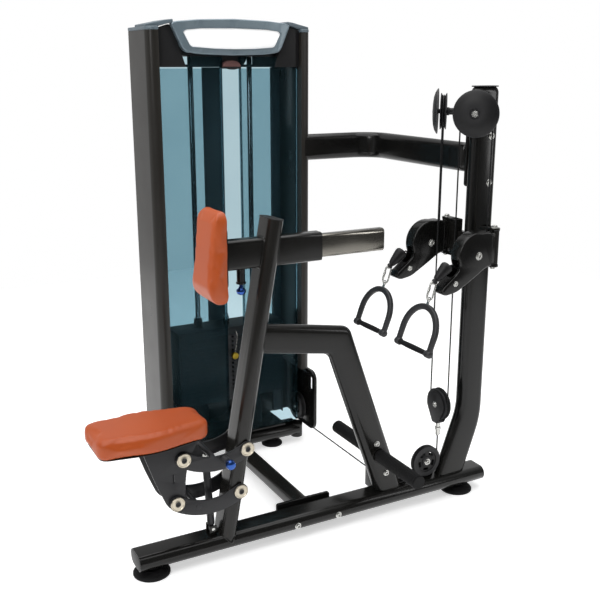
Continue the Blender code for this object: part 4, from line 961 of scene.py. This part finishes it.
# %% Plates
PITCH, BOTTOM = 0.0176, 0.225


def weight_plate(index, z0, z1, hole=True):
    plate = box((0.400, 0.660, z0), (0.834, 0.780, z1), 0.0018, 2)
    for offset, r in ((-0.115, 0.0115), (0, 0.0145), (0.115, 0.0115)):
        boolean(plate,
                rod((TOWER_X + offset, 0.720, z0 - 0.01), (TOWER_X + offset, 0.720, z1 + 0.01), r, 0, 24))
    if hole:
        boolean(plate, rod((TOWER_X, 0.650, (z0 + z1) / 2), (TOWER_X, 0.7060, (z0 + z1) / 2), 0.0048, 0, 20))
    return plate


def plate_pile(first, count, gap):
    plates = [weight_plate(first, BOTTOM + first * PITCH + gap, BOTTOM + (first + 1) * PITCH - 0.0003)]
    for k in range(1, count):
        copy = plates[0].copy()
        copy.data = plates[0].data.copy()
        bpy.context.scene.collection.objects.link(copy)
        copy.data.transform(Matrix.Translation((0, 0, k * PITCH)))
        plates.append(copy)
    return plates


finish("resting_weights", "frame", IRON, "cast_iron", *plate_pile(0, 10, 0.0), replaces=["resting_plates"])
finish("lifted_weights", "weight_carriage", IRON, "cast_iron", *plate_pile(10, 5, 0.0003),
       replaces=["lifted_plates"])
head = BOTTOM + 15 * PITCH
top_weight = box((0.400, 0.660, head + 0.0003), (0.834, 0.780, head + 0.030), 0.003, 3)
for s in (-1, 1):
    boolean(top_weight,
            rod((TOWER_X + s * 0.115, 0.720, head - 0.01), (TOWER_X + s * 0.115, 0.720, head + 0.05), 0.0140,
                0, 24))
bushes = [lathe([(0.0112, head + 0.065), (0.0150, head + 0.065), (0.0160, head + 0.064),
                 (0.0160, head + 0.034),
                 (0.0200, head + 0.033), (0.0200, head + 0.0303), (0.0112, head + 0.0303),
                 (0.0112, head + 0.065)],
                (TOWER_X + s * 0.115, 0.720, 0), (0, 0, 1), 40) for s in (-1, 1)]
finish("top_weight", "weight_carriage", IRON, "cast_iron", top_weight, replaces=["top_plate"])
finish("top_weight_bushes", "weight_carriage", NYLON, "cast_iron", *bushes)
stem = rod((TOWER_X, 0.720, 0.235), (TOWER_X, 0.720, 0.548), 0.0120, 0.001, 36)
boss = lathe([(0, 0.560), (0.006, 0.560), (0.0095, 0.557), (0.0095, 0.540), (0.0130, 0.538), (0.0130, 0.525),
              (0, 0.525)],
             (TOWER_X, 0.720, 0), (0, 0, 1), 40)
finish("selector_stem", "weight_carriage", CHROME, "cast_iron", stem, boss)
strips = []
for k in range(15):
    z = BOTTOM + (k + 0.5) * PITCH
    strip = box((TOWER_X - 0.019, 0.6588, z - 0.0078), (TOWER_X + 0.019, 0.6602, z + 0.0078), 0.0004, 1)
    boolean(strip, rod((TOWER_X, 0.650, z), (TOWER_X, 0.670, z), 0.0052, 0, 20))
    strips.append(strip)
finish("weight_labels_resting", "frame", SATIN, "cast_iron", *strips[:10])
finish("weight_labels_lifted", "weight_carriage", SATIN, "cast_iron", *strips[10:])

# %% [markdown]
# A turned brass knob on a pin, and the thin cord that keeps it from being lost.

# %% Selector pin and its lanyard
pin_z = BOTTOM + 10.5 * PITCH
knob = lathe([(0, 0.0255), (0.0052, 0.0255), (0.0060, 0.0200), (0.0072, 0.0165), (0.0130, 0.0135),
              (0.0136, 0.0110),
              (0.0128, 0.0060), (0.0132, 0.0025), (0.0120, 0.0004), (0, 0)], (TOWER_X, 0.632, pin_z),
             (0, 1, 0), 48)
finish("selector_pin_knob", "selector", BRASS, "brass", knob,
       rod((TOWER_X, 0.655, pin_z), (TOWER_X, 0.705, pin_z), 0.0043),
       replaces=["selector_pin"])
lanyard = []
for k in range(25):
    t = k / 24
    lanyard.append((TOWER_X + 0.003 + 0.010 * math.sin(math.pi * t),
                    0.7070 - 0.060 * min(t * 2.2, 1) - 0.004 * t,
                    0.5300 - (0.530 - pin_z - 0.012) * t ** 1.4))
lanyard_cord = sweep(lanyard, 0.0011, False, 3)
finish("selector_lanyard", "weight_carriage", ZINC, "cable", lanyard_cord)

# %% [markdown]
# ## Pulleys
# Moulded wheels with arc slots round the hub and a deep rope groove.


# %% Pulleys
def pulley(name, body, node, centre, direction, arc_radius=0.048, slots=5):
    outer, floor_r, half = arc_radius + 0.008, arc_radius - 0.0030, 0.010
    groove = [(outer - 0.0012, half), (outer, half - 0.0012), (outer - 0.0005, half - 0.0020)]
    for k in range(7):
        t = math.pi * k / 6
        groove.append((floor_r + 0.0028 - 0.0028 * math.sin(t), 0.0034 * math.cos(t)))
    groove += [(outer - 0.0005, -half + 0.0020), (outer, -half + 0.0012), (outer - 0.0012, -half)]
    side = [(0.0095, half), (0.0180, half), (0.0190, half - 0.0010), (0.0195, half - 0.0030),
            (arc_radius - 0.0095, half - 0.0030),
            (arc_radius - 0.0085, half)]
    profile = side + groove + [(r, -h) for r, h in reversed(side)] + [side[0]]
    wheel = lathe(profile, (0, 0, 0), (0, 0, 1), 72)
    middle = (0.0195 + arc_radius - 0.0095) / 2
    wide = (arc_radius - 0.0290) * 0.30
    for k in range(slots):
        a = 360 * k / slots
        ring = arc((0, 0), middle + wide, a, a + 42,
                   8) + list(reversed(arc((0, 0), middle - wide, a, a + 42, 8)))
        boolean(wheel, outline([softened(ring, 0.003, 3)], "z", -0.02, 0.02, 0))
    bearing = lathe([(0.0086, 0.0098), (0.0098, 0.0098), (0.0098, -0.0098), (0.0086, -0.0098),
                     (0.0086, 0.0098)],
                    (0, 0, 0), (0, 0, 1), 48)
    turn = Vector((0, 0, 1)).rotation_difference(Vector(direction)).to_matrix().to_4x4()
    for thing in (wheel, bearing):
        thing.data.transform(Matrix.Translation(Vector(centre)) @ turn)
    finish(name, body, NYLON, "pulley", wheel, replaces=[node])
    return finish(name + "_bearing", body, ZINC, "pulley", bearing)


TOP_AXIS = (-0.774, 0.633)
for word, s in (("near", -1), ("far", 1)):
    pulley("arm_wheel_" + word + "_nylon", "arm_wheel_" + word, "arm_pulley_" + word,
           (1.124, s * 0.125, 0.899), (0, 1, 0))
    pulley("top_wheel_" + word + "_nylon", "top_wheel_" + word, "top_pulley_" + word,
           (1.1395, s * 0.0855, 1.340),
           (TOP_AXIS[0], s * TOP_AXIS[1], 0), 0.0511)
pulley("low_wheel_nylon", "low_wheel", "low_pulley", (1.059, 0, 0.141), (0, 1, 0))
pulley("corner_wheel_nylon", "corner_wheel", "corner_pulley", (0.953, 0.048, 0.093), (0, 0, 1))
pulley("side_wheel_nylon", "side_wheel", "side_pulley", (0.905, 0.672, 0.141), (1, 0, 0))
pulley("riser_wheel_nylon", "riser_wheel", "riser_pulley", (0.857, 0.720, 1.527), (0, 1, 0))
pulley("drop_wheel_nylon", "drop_wheel", "drop_pulley", (0.665, 0.720, 1.527), (0, 1, 0))
pulley("float_wheel_nylon", "float_wheel", "float_pulley", (1.107, 0, 0.347), (1, 0, 0))

# %% [markdown]
# A laser-cut plate with a slot and a raised rim that covers the side pulley.

# %% Side pulley plate on the tower
plate_line = rounded((0.556, 0.068), (0.760, 0.314), 0.034, 10)
slot_line = list(reversed(rounded((0.588, 0.232), (0.602, 0.284), 0.0065, 6)))
side_plate = outline([plate_line, slot_line], "x", 0.9266, 0.9316, 0.0012)
inner_rim = outline([rounded((0.556, 0.068), (0.760, 0.314), 0.034, 10),
                     list(reversed(rounded((0.560, 0.072), (0.756, 0.310), 0.030, 10)))], "x", 0.9190, 0.9280,
                    0.0006)
finish("side_pulley_plate", "frame", POWDER, "satin_black", side_plate, inner_rim,
       replaces=["side_pulley_bracket"])
finish("side_pulley_axle", "frame", ZINC, "satin_black",
       rod((0.895, 0.672, 0.141), (0.929, 0.672, 0.141), 0.0075),
       *bolt((0.9314, 0.672, 0.141), (1, 0, 0), 0.0075, 0.011),
       *bolt((0.9314, 0.612, 0.205), (1, 0, 0), 0.0070, 0.010),
       *bolt((0.9314, 0.612, 0.150), (1, 0, 0), 0.0070, 0.010))

# %% [markdown]
# Dished covers over the two top pulleys, turned on the same slanting axis as the wheels.

# %% Top axles with their round covers
for word, s in (("near", -1), ("far", 1)):
    centre, n = Vector((1.1395, s * 0.0855, 1.340)), Vector((TOP_AXIS[0], s * TOP_AXIS[1], 0)).normalized()
    cover = lathe([(0.0105, 0.0308), (0.0150, 0.0308), (0.0165, 0.0335), (0.0300, 0.0345), (0.0460, 0.0325),
                   (0.0600, 0.0285),
                   (0.0690, 0.0232), (0.0728, 0.0205), (0.0732, 0.0178), (0.0700, 0.0188), (0.0560, 0.0245),
                   (0.0200, 0.0290),
                   (0.0105, 0.0300), (0.0105, 0.0308)], centre, n, 96)
    finish("top_cover_" + word, "frame", NYLON, "satin_black", cover, replaces=["top_axle_" + word])
    axle = rod(centre + n * 0.0312, centre - n * 0.0115, 0.0074)
    collar = lathe([(0, -0.0115), (0.0125, -0.0115), (0.0130, -0.0125), (0.0130, -0.0185), (0.0110, -0.0200),
                    (0.0110, -0.0760), (0, -0.0760)], centre, n, 48)
    finish("top_axle_" + word + "_bar", "frame", SATIN, "satin_black", axle, collar)
    finish("top_bolt_" + word, "frame", ZINC, "satin_black",
           *bolt(centre + n * 0.0305, n, 0.0075, 0.0100, 0.0055))

# %% [markdown]
# Two cheeks round one wheel, with the stud that the weight cable hangs from.

# %% Floating pulley block
fx, fz = 1.107, 0.347
cheeks = []
for s in (-1, 1):
    line = softened([(-0.013, 0.279), (0.013, 0.279),
                     (0.046, 0.335)] + arc((0, fz), 0.047, 5, 175, 24) + [(-0.046, 0.335)],
                    [0.004, 0.004, 0.02] + [0] * 25 + [0.02])
    x0, x1 = sorted((fx + s * 0.0125, fx + s * 0.0165))
    cheeks.append(outline([line], "x", x0, x1, 0.0008))
yoke = box((fx - 0.0160, -0.013, 0.2785), (fx + 0.0160, 0.013, 0.2885), 0.0015)
finish("float_cheeks", "float", NYLON, "satin_black", *cheeks, yoke, replaces=["float_block"])
stud = lathe([(0, 0.284), (0.0075, 0.284), (0.0075, 0.262), (0.0105, 0.260), (0.0105, 0.252), (0.0078, 0.250),
              (0.0078, 0.2330), (0.0060, 0.2292), (0, 0.2292)], (fx, 0, 0), (0, 0, 1), 40)
finish("float_stud", "float", ZINC, "satin_black", stud,
       rod((fx - 0.0178, 0, fz), (fx + 0.0178, 0, fz), 0.0073),
       *bolt((fx - 0.0165, 0, fz), (-1, 0, 0), 0.0075, 0.0105, 0.005))

# %% [markdown]
# ## Swivel arms
# A crossbar through the post ends in two clevises; each arm turns on an upright bolt and holds a pulley.

# %% Crossbar with its clevises
HINGE_X = 1.204
bar = box((1.200, -0.098, 0.890), (1.226, 0.098, 0.940), 0.003, 3)
webs, tongues, pins = [], [], []
for s in (-1, 1):
    low, high = sorted((s * 0.060, s * 0.100))
    webs.append(box((1.1925, low, 0.8525), (1.2225, high, 0.9795), 0.003, 3))
    y = s * 0.125
    for z in (0.8520, 0.9715):
        ends = [(1.1900, s * 0.062), (1.2205, s * 0.062), (1.2205, s * 0.130)] + \
            [(HINGE_X + 0.0165 * math.cos(t),
              y + s * 0.018 * math.sin(t)) for t in [math.pi * k / 14 for k in range(15)]]
        ends += [(1.1900, s * 0.130)]
        tongues.append(outline([ends if s > 0 else list(reversed(ends))], "z", z, z + 0.008, 0.0015))
    pins.append(rod((HINGE_X, y, 0.846), (HINGE_X, y, 0.981), 0.0068))
    pins += bolt((HINGE_X, y, 0.9796), (0, 0, 1), 0.0085, 0.0125,
                 0.0080) + bolt((HINGE_X, y, 0.8519), (0, 0, -1), 0.0080, 0.0120, 0.0075)
finish("swivel_crossbar_bar", "frame", POWDER, "gloss_black", bar, *webs, *tongues,
       replaces=["swivel_crossbar"])
finish("swivel_hinge_pins", "frame", ZINC, "gloss_black", *pins)

# %% [markdown]
# A hollowed plate-sided arm: the outline is cut out for the wheel and for the cable's way through.

# %% Arms
for word, s in (("near", -1), ("far", 1)):
    cx, cy, cz = 1.124, s * 0.125, 0.899
    line = [(1.180, 0.962), (1.168, 0.974)] + arc((cx, cz), 0.0755, 80, 202, 24)
    line += [(1.047, 0.851), (0.992, 0.808), (0.985, 0.797), (0.990, 0.786), (1.004, 0.782), (1.045, 0.789),
             (1.108, 0.826), (1.157, 0.857), (1.180, 0.862)]
    radii = [0.006, 0.010] + [0] * 25 + [0.014, 0.010, 0.006, 0.006, 0.008, 0.014, 0.03, 0.03, 0.006]
    arm = outline([softened(line, radii, 5)], "y", cy - 0.025, cy + 0.025, 0.006, 4, 50)
    neck = box((1.172, cy - 0.014, 0.866), (1.200, cy + 0.014, 0.966), 0.003, 3)
    tube_part = lathe([(0.0074, 0.9708), (0.0145, 0.9708), (0.0155, 0.9698), (0.0155, 0.8617),
                       (0.0145, 0.8607),
                       (0.0074, 0.8607), (0.0074, 0.9708)], (HINGE_X, cy, 0), (0, 0, 1), 56)
    boolean(neck, rod((HINGE_X, cy, 0.85), (HINGE_X, cy, 0.98), 0.0150, 0))
    cut(arm, rod((cx, cy - 0.013, cz), (cx, cy + 0.013, cz), 0.0620, 0, 64),
        box((1.162, cy - 0.013, cz), (1.1795, cy + 0.013, 0.990), 0),
        box((0.975, cy - 0.013, 0.836), (1.090, cy + 0.013, 0.889), 0))
    axle = rod((cx, cy - 0.020, cz), (cx, cy + 0.020, cz), 0.0074)
    finish("swivel_arm_" + word + "_plate", "arm_" + word, POWDER, "gloss_black", arm, neck, tube_part, axle,
           replaces=["swivel_arm_" + word])
    heads = []
    for d in (-1, 1):
        heads += bolt((cx, cy + d * 0.0249, cz), (0, d, 0), 0.0090, 0.0130, 0.0065)
        heads += bolt((1.036, cy + d * 0.0249, 0.818), (0, d, 0), 0.0065, 0.0090, 0.0050)
    finish("swivel_arm_" + word + "_bolts", "arm_" + word, ZINC, "gloss_black", *heads)

# %% [markdown]
# ## Cable stops, snap hooks and stirrup handles

# %% Stops and hooks
for word, s in (("near", -1), ("far", 1)):
    y = s * 0.126
    start, end = Vector((1.0225, y, 0.8760)), Vector((0.9670, y, 0.8241))
    length = (end - start).length
    profile = [(0, length + 0.001), (0.0060, length + 0.001), (0.0088, length - 0.001),
               (0.0094, length - 0.006),
               (0.0094, length - 0.0095), (0.0080, length - 0.0110), (0.0080, length - 0.0130),
               (0.0108, length - 0.0150),
               (0.0150, length - 0.0300), (0.0195, 0.0190), (0.0205, 0.0125), (0.0200, 0.0065),
               (0.0160, 0.0015), (0.010, 0), (0, 0)]
    finish("cable_stop_" + word + "_cone", "arm_" + word, NYLON, "polymer_black",
           lathe(profile, start, end - start, 56),
           replaces=["cable_stop_" + word])
    top, low = Vector((0.9695, y, 0.8281)), Vector((0.9520, y, 0.7710))
    down = (low - top).normalized()
    sideways = down.cross(Vector((0, 1, 0))).normalized()
    half = (low - top).length / 2
    loop = [tuple((top + low) / 2 + down * a + sideways * b)
            for a,
            b in arc((half - 0.011, 0), 0.011, -90, 90, 18) + arc((0.011 - half, 0), 0.011, 90, 270, 18)]
    hook = sweep(loop, 0.0032, True, 5)
    gate_a = (top + low) / 2 + down * (half - 0.014) - sideways * 0.011
    gate_b = (top + low) / 2 - down * (half - 0.022) - sideways * 0.011
    gate = rod(gate_a, gate_b, 0.0041)
    eyelet = rod(top - down * 0.0005 - sideways * 0.0, top + down * 0.010, 0.0046)
    finish("snap_hook_" + word, "arm_" + word, ZINC, "polymer_black", hook, gate, eyelet)

    # The handle's arched strap, its lug on the hook, the tapered grip and the end bosses
    grip = Vector((0.897, y, 0.622))
    across, up = Vector((0, 1, 0)), (low - grip).normalized()
    normal = across.cross(up)
    tall = (low - grip).length + 0.0006
    centre = (0, tall - 0.1065)
    outer = arc(centre, 0.092, 0, 180, 40)
    inner = arc(centre, 0.0725, 180, 0, 40)
    bow = [(0.0905, -0.004)] + outer + [(-0.0905, -0.004), (-0.0735, -0.004)] + inner + [(0.0735, -0.004)]
    strap = outline([bow], "z", -0.0080, 0.0080, 0.0055, 4, 50)
    lug = outline([arc((0, tall), 0.0090, 0, 355, 40), list(reversed(arc((0, tall), 0.0058, 0, 350, 30)))],
                  "z", -0.0010, 0.0010, 0.0004)
    neck = outline([softened([(-0.008, tall - 0.026), (0.008, tall - 0.026), (0.0055, tall - 0.0075),
                              (-0.0055, tall - 0.0075)], 0.002)],
                   "z", -0.0010, 0.0010, 0.0004)
    place = Matrix.Translation(grip) @ Matrix((across, up, normal)).transposed().to_4x4()
    for thing in (strap, lug, neck):
        thing.data.transform(place)
    bosses = [lathe([(0, 0.0130), (0.0070, 0.0130), (0.0098, 0.0115), (0.0115, 0.0085), (0.0120, 0.0050),
                     (0.0120, -0.0100),
                     (0.0110, -0.0118), (0, -0.0118)], grip + across * 0.0805 * d, across * d,
                    48) for d in (-1, 1)]
    finish("handle_" + word + "_strap", "grip_" + word, GRIP, "polymer_black", strap, *bosses,
           replaces=["handle_" + word])
    finish("handle_" + word + "_lug", "grip_" + word, ZINC, "polymer_black", lug, neck)
    tapered = [(0, 0.0705), (0.0092, 0.0705), (0.0098, 0.0690), (0.0092, 0.0672)]
    for k in range(25):
        h = 0.065 - 0.130 * k / 24
        tapered.append((0.0080 + 0.0012 * (1 - (h / 0.065) ** 2), h))
    tapered += [(0.0092, -0.0672), (0.0098, -0.0690), (0.0092, -0.0705), (0, -0.0705)]
    finish("handle_" + word + "_grip", "grip_" + word, RUBBER, "polymer_black",
           lathe(tapered, grip, across, 56))

# %% [markdown]
# ## Cables
# Each run is a round coated cable along its real route.  The runs that grow or shorten list the two
# bodies that they join, but are not attached to either and do not bend between them.


# %% Cable runs
def upright_arc(centre, toward, radius, start, end, steps=20):
    points = []
    for i in range(steps + 1):
        angle = math.radians(start + (end - start) * i / steps)
        points.append((centre[0] + toward[0] * radius * math.cos(angle),
                       centre[1] + toward[1] * radius * math.cos(angle),
                       centre[2] + radius * math.sin(angle)))
    return points


def straight(a, b, count):
    a, b = Vector(a), Vector(b)
    return [tuple(a.lerp(b, k / count)) for k in range(count + 1)]


def cable_run(name, points, blend=None, body=None, nodes=()):
    run = finish(name, body, CABLE, "cable", sweep(points, 0.0025, False, 4), replaces=nodes)
    if blend:
        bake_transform(run)
    return run


for word, s in (("near", -1), ("far", 1)):
    ay = s * 0.125
    out = Vector((0.633, s * 0.774)) * 0.0511
    tangent = (1.1395 + out.x, s * 0.0855 + out.y, 1.340)
    inside = [(1.004, s * 0.126, 0.859), (1.034, ay, 0.8740), (1.060, ay, 0.8610), (1.090, ay, 0.8530)]
    lower = inside + upright_arc((1.124, ay, 0.899), (1, 0), 0.048, -90, 0, 12)
    run = lower + straight(lower[-1], tangent, 30)[1:]
    cable_run("cable_arm_" + word, run, ("arm_" + word, "frame", (1.172, ay, 0.985), (1.172, ay, 1.330)))
route = []
for s in (1, -1):
    out = Vector((0.633, s * 0.774)) * 1.0
    part = [(p[0], p[1], p[2]) for p in upright_arc((1.1395, s * 0.0855, 1.340), (out.x, out.y), 0.0511, 0,
                                                    180, 24)]
    part += straight(part[-1], (1.107, s * 0.048, 0.347), 60)[1:]
    part += upright_arc((1.107, 0, 0.347), (0, s), 0.048, 0, -90, 12)[1:]
    route.append(part)
middle = route[0] + list(reversed(route[1]))[1:]
cable_run("cable_float_loop", middle, ("frame", "float", (1.107, 0, 1.290), (1.107, 0, 0.420)),
          nodes=["handle_cable"])
cable_run("cable_float_tail", straight((1.107, 0, 0.2296), (1.107, 0, 0.141), 12),
          ("float", "frame", (1.107, 0, 0.228), (1.107, 0, 0.146)))
route = upright_arc((1.059, 0, 0.141), (1, 0), 0.048, 0, -90, 16)
for a, b in arc((0.953, 0.048), 0.048, 270, 180, 16):
    route.append((a, b, 0.093))
route += upright_arc((0.905, 0.672, 0.141), (0, 1), 0.048, -90, 0, 16)
route += straight((0.905, 0.720, 0.160), (0.905, 0.720, 1.515), 20)
route += upright_arc((0.857, 0.720, 1.527), (1, 0), 0.048, 0, 90, 16)
route += upright_arc((0.665, 0.720, 1.527), (1, 0), 0.048, 90, 180, 16)
cable_run("cable_to_tower", route, body="frame", nodes=["front_cable", "stack_cable"])
cable_run("cable_stack_drop", straight((0.617, 0.720, 1.527), (0.617, 0.720, 0.5604), 60),
          ("frame", "weight_carriage", (0.617, 0.720, 1.46), (0.617, 0.720, 0.60)))

# %% [markdown]
# ## Seat: bracket, links and gas spring

# %% Seat bracket
side_line = softened([(0.196, 0.4240), (0.020, 0.4240), (0.058, 0.310), (0.090, 0.232), (0.112, 0.212),
                      (0.134, 0.216),
                      (0.146, 0.250), (0.150, 0.320), (0.164, 0.378)],
                     [0.01, 0.01, 0.03, 0.03, 0.02, 0.02, 0.03, 0.03, 0.03], 6)
slot_line = [(0.112 + a, 0.318 + b) for a, b in reversed(stadium(0.030, 0.006, 8))]
slot_line = [(0.112 + (b - 0.318), 0.318 + (a - 0.112)) for a, b in slot_line]
cheeks = [outline([side_line, slot_line[::-1]], "y", min(s * 0.044, s * 0.050), max(s * 0.044, s * 0.050),
                  0.0008) for s in (-1, 1)]
tray = outline([rounded((0.000, -0.060), (0.195, 0.060), 0.010)], "z", 0.4235, 0.4300, 0.0010)
finish("seat_bracket_plates", "seat", SATIN, "satin_black", *cheeks, tray, replaces=["seat_bracket"])


# %% [markdown]
# Bowed bands with round ends.  The bow is a true arc between the pivots, so both links share one rule.

# %% Links
def link_band(start, end, sag, width):
    """Outline of a band with round ends that bows down between two pivots."""
    a, b = Vector(start), Vector(end)
    run = b - a
    half = run.length / 2
    radius = (half * half + sag * sag) / (2 * sag)
    spread = math.degrees(math.asin(half / radius))
    tilt = math.degrees(math.atan2(run.y, run.x))
    centre = (a + b) / 2 + Vector((-run.y, run.x)).normalized() * (radius - sag)
    low, high, w = 270 - spread + tilt, 270 + spread + tilt, width / 2
    return (arc(centre, radius + w, low, high, 32) + arc(b, w, high, high + 180, 20)[1:-1]
            + arc(centre, radius - w, high, low, 32) + arc(a, w, low + 180, low + 360, 20)[1:-1])


for name, body, pivot, bar_at in (("upper_link", "seat_upper", PIVOTS[0], (0.231, 0.366)),
                                  ("lower_link", "seat_lower", PIVOTS[1], (0.185, 0.212))):
    start = (pivot[0] + REACH[0], pivot[1] + REACH[1])
    band = link_band(start, pivot, 0.030, 0.047)
    holes = [list(reversed(arc(p, 0.0087, 0, 350, 35))) for p in (start, pivot)]
    plates = [outline([band] + holes, "y", min(s * 0.0525, s * 0.0585), max(s * 0.0525, s * 0.0585),
                      0.0010) for s in (-1, 1)]
    cross = rod((bar_at[0], -0.0600, bar_at[1]), (bar_at[0], 0.0600, bar_at[1]), 0.0085)
    extra = []
    if name == "upper_link":
        extra.append(lathe([(0.0052, 0.0275), (0.0108, 0.0275), (0.0118, 0.0265), (0.0118, 0.0),
                            (0.0052, 0.0), (0.0052, 0.0275)],
                           (0.270, -0.0585, 0.350), (0, -1, 0), 40))
    finish(name + "_plates", body, SATIN, "satin_black", *plates, cross, *extra, replaces=[name])

# %% [markdown]
# A turned cylinder and rod on one line between its two pivots, each on its own body.

# %% Gas spring
foot_point, top_point = Vector((0.245, 0, 0.100)), Vector((0.231, 0, 0.366))
run = top_point - foot_point
cylinder = lathe([(0.0052, 0.205), (0.0098, 0.205), (0.0112, 0.2035), (0.0115, 0.2005), (0.0108, 0.1985),
                  (0.0108, 0.1960),
                  (0.0115, 0.1940), (0.0115, 0.0160), (0.0105, 0.0120), (0.0065, 0.0100), (0.0065, 0.0070),
                  (0.0088, 0.0050),
                  (0.0088, -0.0080), (0, -0.0080), (0, 0.060), (0.0052, 0.060), (0.0052, 0.205)], foot_point,
                 run, 48)
finish("gas_spring_cylinder", "gas_body", SATIN, "satin_black", cylinder, replaces=["gas_spring_body"])
end = run.length - 0.0125
piston = lathe([(0, end - 0.016), (0.0042, end - 0.016), (0.0042, 0.110), (0, 0.110)], foot_point, run, 40)
finish("gas_spring_piston", "gas_rod", CHROME, "chrome", piston, replaces=["gas_spring_rod"])
eye = lathe([(0, end), (0.0070, end), (0.0080, end - 0.0020), (0.0080, end - 0.0110), (0.0062, end - 0.0140),
             (0.0058, end - 0.0180), (0, end - 0.0180)],
            foot_point, run, 40)
finish("gas_spring_eye", "gas_rod", ZINC, "chrome", eye)
finish("gas_spring_foot_pin", "frame", ZINC, "gloss_black",
       rod((0.245, -0.0185, 0.100), (0.245, -0.0125, 0.100), 0.0055),
       rod((0.245, 0.0125, 0.100), (0.245, 0.0185, 0.100), 0.0055))

# %% [markdown]
# ## Upholstery
# Each cushion is blown up from a slightly smaller foam block with cloth pressure, then pressed back
# flat where it meets its board.  Steam-pressed vinyl over foam has the same soft crown.


# %% Cushion tools
def blown(thing, voxel, pressure, reach):
    """Remesh a block, swell it as cloth under pressure, and cap how far any point may move."""
    only(thing)
    remesh = thing.modifiers.new("Remesh", "REMESH")
    remesh.mode = "VOXEL"
    remesh.voxel_size = voxel
    applied(thing)
    rest = [v.co.copy() for v in thing.data.vertices]
    cloth = thing.modifiers.new("Cloth", "CLOTH")
    settings = cloth.settings
    settings.quality = 5
    settings.use_pressure = True
    settings.uniform_pressure_force = pressure
    settings.tension_stiffness = settings.compression_stiffness = 12
    settings.bending_stiffness = 1.5
    settings.effector_weights.gravity = 0
    cloth.point_cache.frame_start, cloth.point_cache.frame_end = 1, 20
    scene = bpy.context.scene
    for k in range(1, 21):
        scene.frame_set(k)
    graph = bpy.context.evaluated_depsgraph_get()
    moved = [v.co.copy() for v in thing.evaluated_get(graph).data.vertices]
    thing.modifiers.clear()
    scene.frame_set(1)
    for vertex, old, new in zip(thing.data.vertices, rest, moved):
        shift = new - old
        if shift.length > reach:
            shift = shift.normalized() * reach
        vertex.co = old + shift
    return thing


def smoothed(thing, rounds=6, factor=0.5):
    modifier = thing.modifiers.new("Smooth", "SMOOTH")
    modifier.factor = factor
    modifier.iterations = rounds
    return applied(thing)


def refined(thing):
    modifier = thing.modifiers.new("Subdivision", "SUBSURF")
    modifier.levels = modifier.render_levels = 1
    return applied(thing)


# %% [markdown]
# A six-sided plan, narrower at both ends, as foam on a board.  The clamp after the cloth keeps its
# underside flat.

# %% Seat cushion
seat_plan = softened([(-0.1135, -0.085), (0.050, -0.1115), (0.2265, -0.069), (0.2265, 0.069), (0.050, 0.1115),
                      (-0.1135, 0.085)],
                     [0.030, 0.05, 0.032, 0.032, 0.05, 0.030], 8)
foam = outline([seat_plan], "z", 0.4318, 0.4860, 0.012, 4, 60)
blown(foam, 0.0045, 3.0, 0.0045)
smoothed(foam, 4)
for vertex in foam.data.vertices:
    vertex.co.z = min(max(vertex.co.z, 0.4308), 0.4905)
foam = refined(foam)
seat = finish("seat_cushion_cover", "seat", VINYL, "upholstery", foam, replaces=["seat_cushion"], angle=80)
board = outline([[(a * 0.95 + 0.0025, b * 0.93) for a, b in seat_plan]], "z", 0.4302, 0.4330, 0.0008)
finish("seat_board", "seat", NYLON, "upholstery", board)

# %% [markdown]
# A tapered side outline crossed with a rounded front outline gives the pad's block before it is blown.

# %% Chest pad
back_x = 0.2940
side = softened([(back_x, 0.820), (back_x, 1.094), (0.272, 1.096), (0.258, 1.076), (0.2345, 0.866),
                 (0.242, 0.842), (0.268, 0.820)],
                [0.006, 0.006, 0.014, 0.02, 0.02, 0.014, 0.014], 6)
pad = outline([side], "y", -0.070, 0.070, 0)
keep = outline([rounded((-0.070, 0.819), (0.070, 1.097), 0.034, 10)], "x", 0.20, 0.32, 0)
boolean(pad, keep, "INTERSECT")
bevelled(pad, 0.007, 3, 50)
blown(pad, 0.0045, 3.0, 0.0045)
smoothed(pad, 4)
for vertex in pad.data.vertices:
    vertex.co.x = min(max(vertex.co.x, 0.2305), back_x - 0.0003)
pad = refined(pad)
chest = finish("chest_pad_cover", "pad", VINYL, "upholstery", pad, replaces=["chest_pad"], angle=80)

# %% [markdown]
# ## Overall size
# The size is printed for comparison with the CAD box.

# %% Finish
low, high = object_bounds()
print("pieces", len(MADE), "visual box", [round(v, 4) for v in low], [round(v, 4) for v in high])
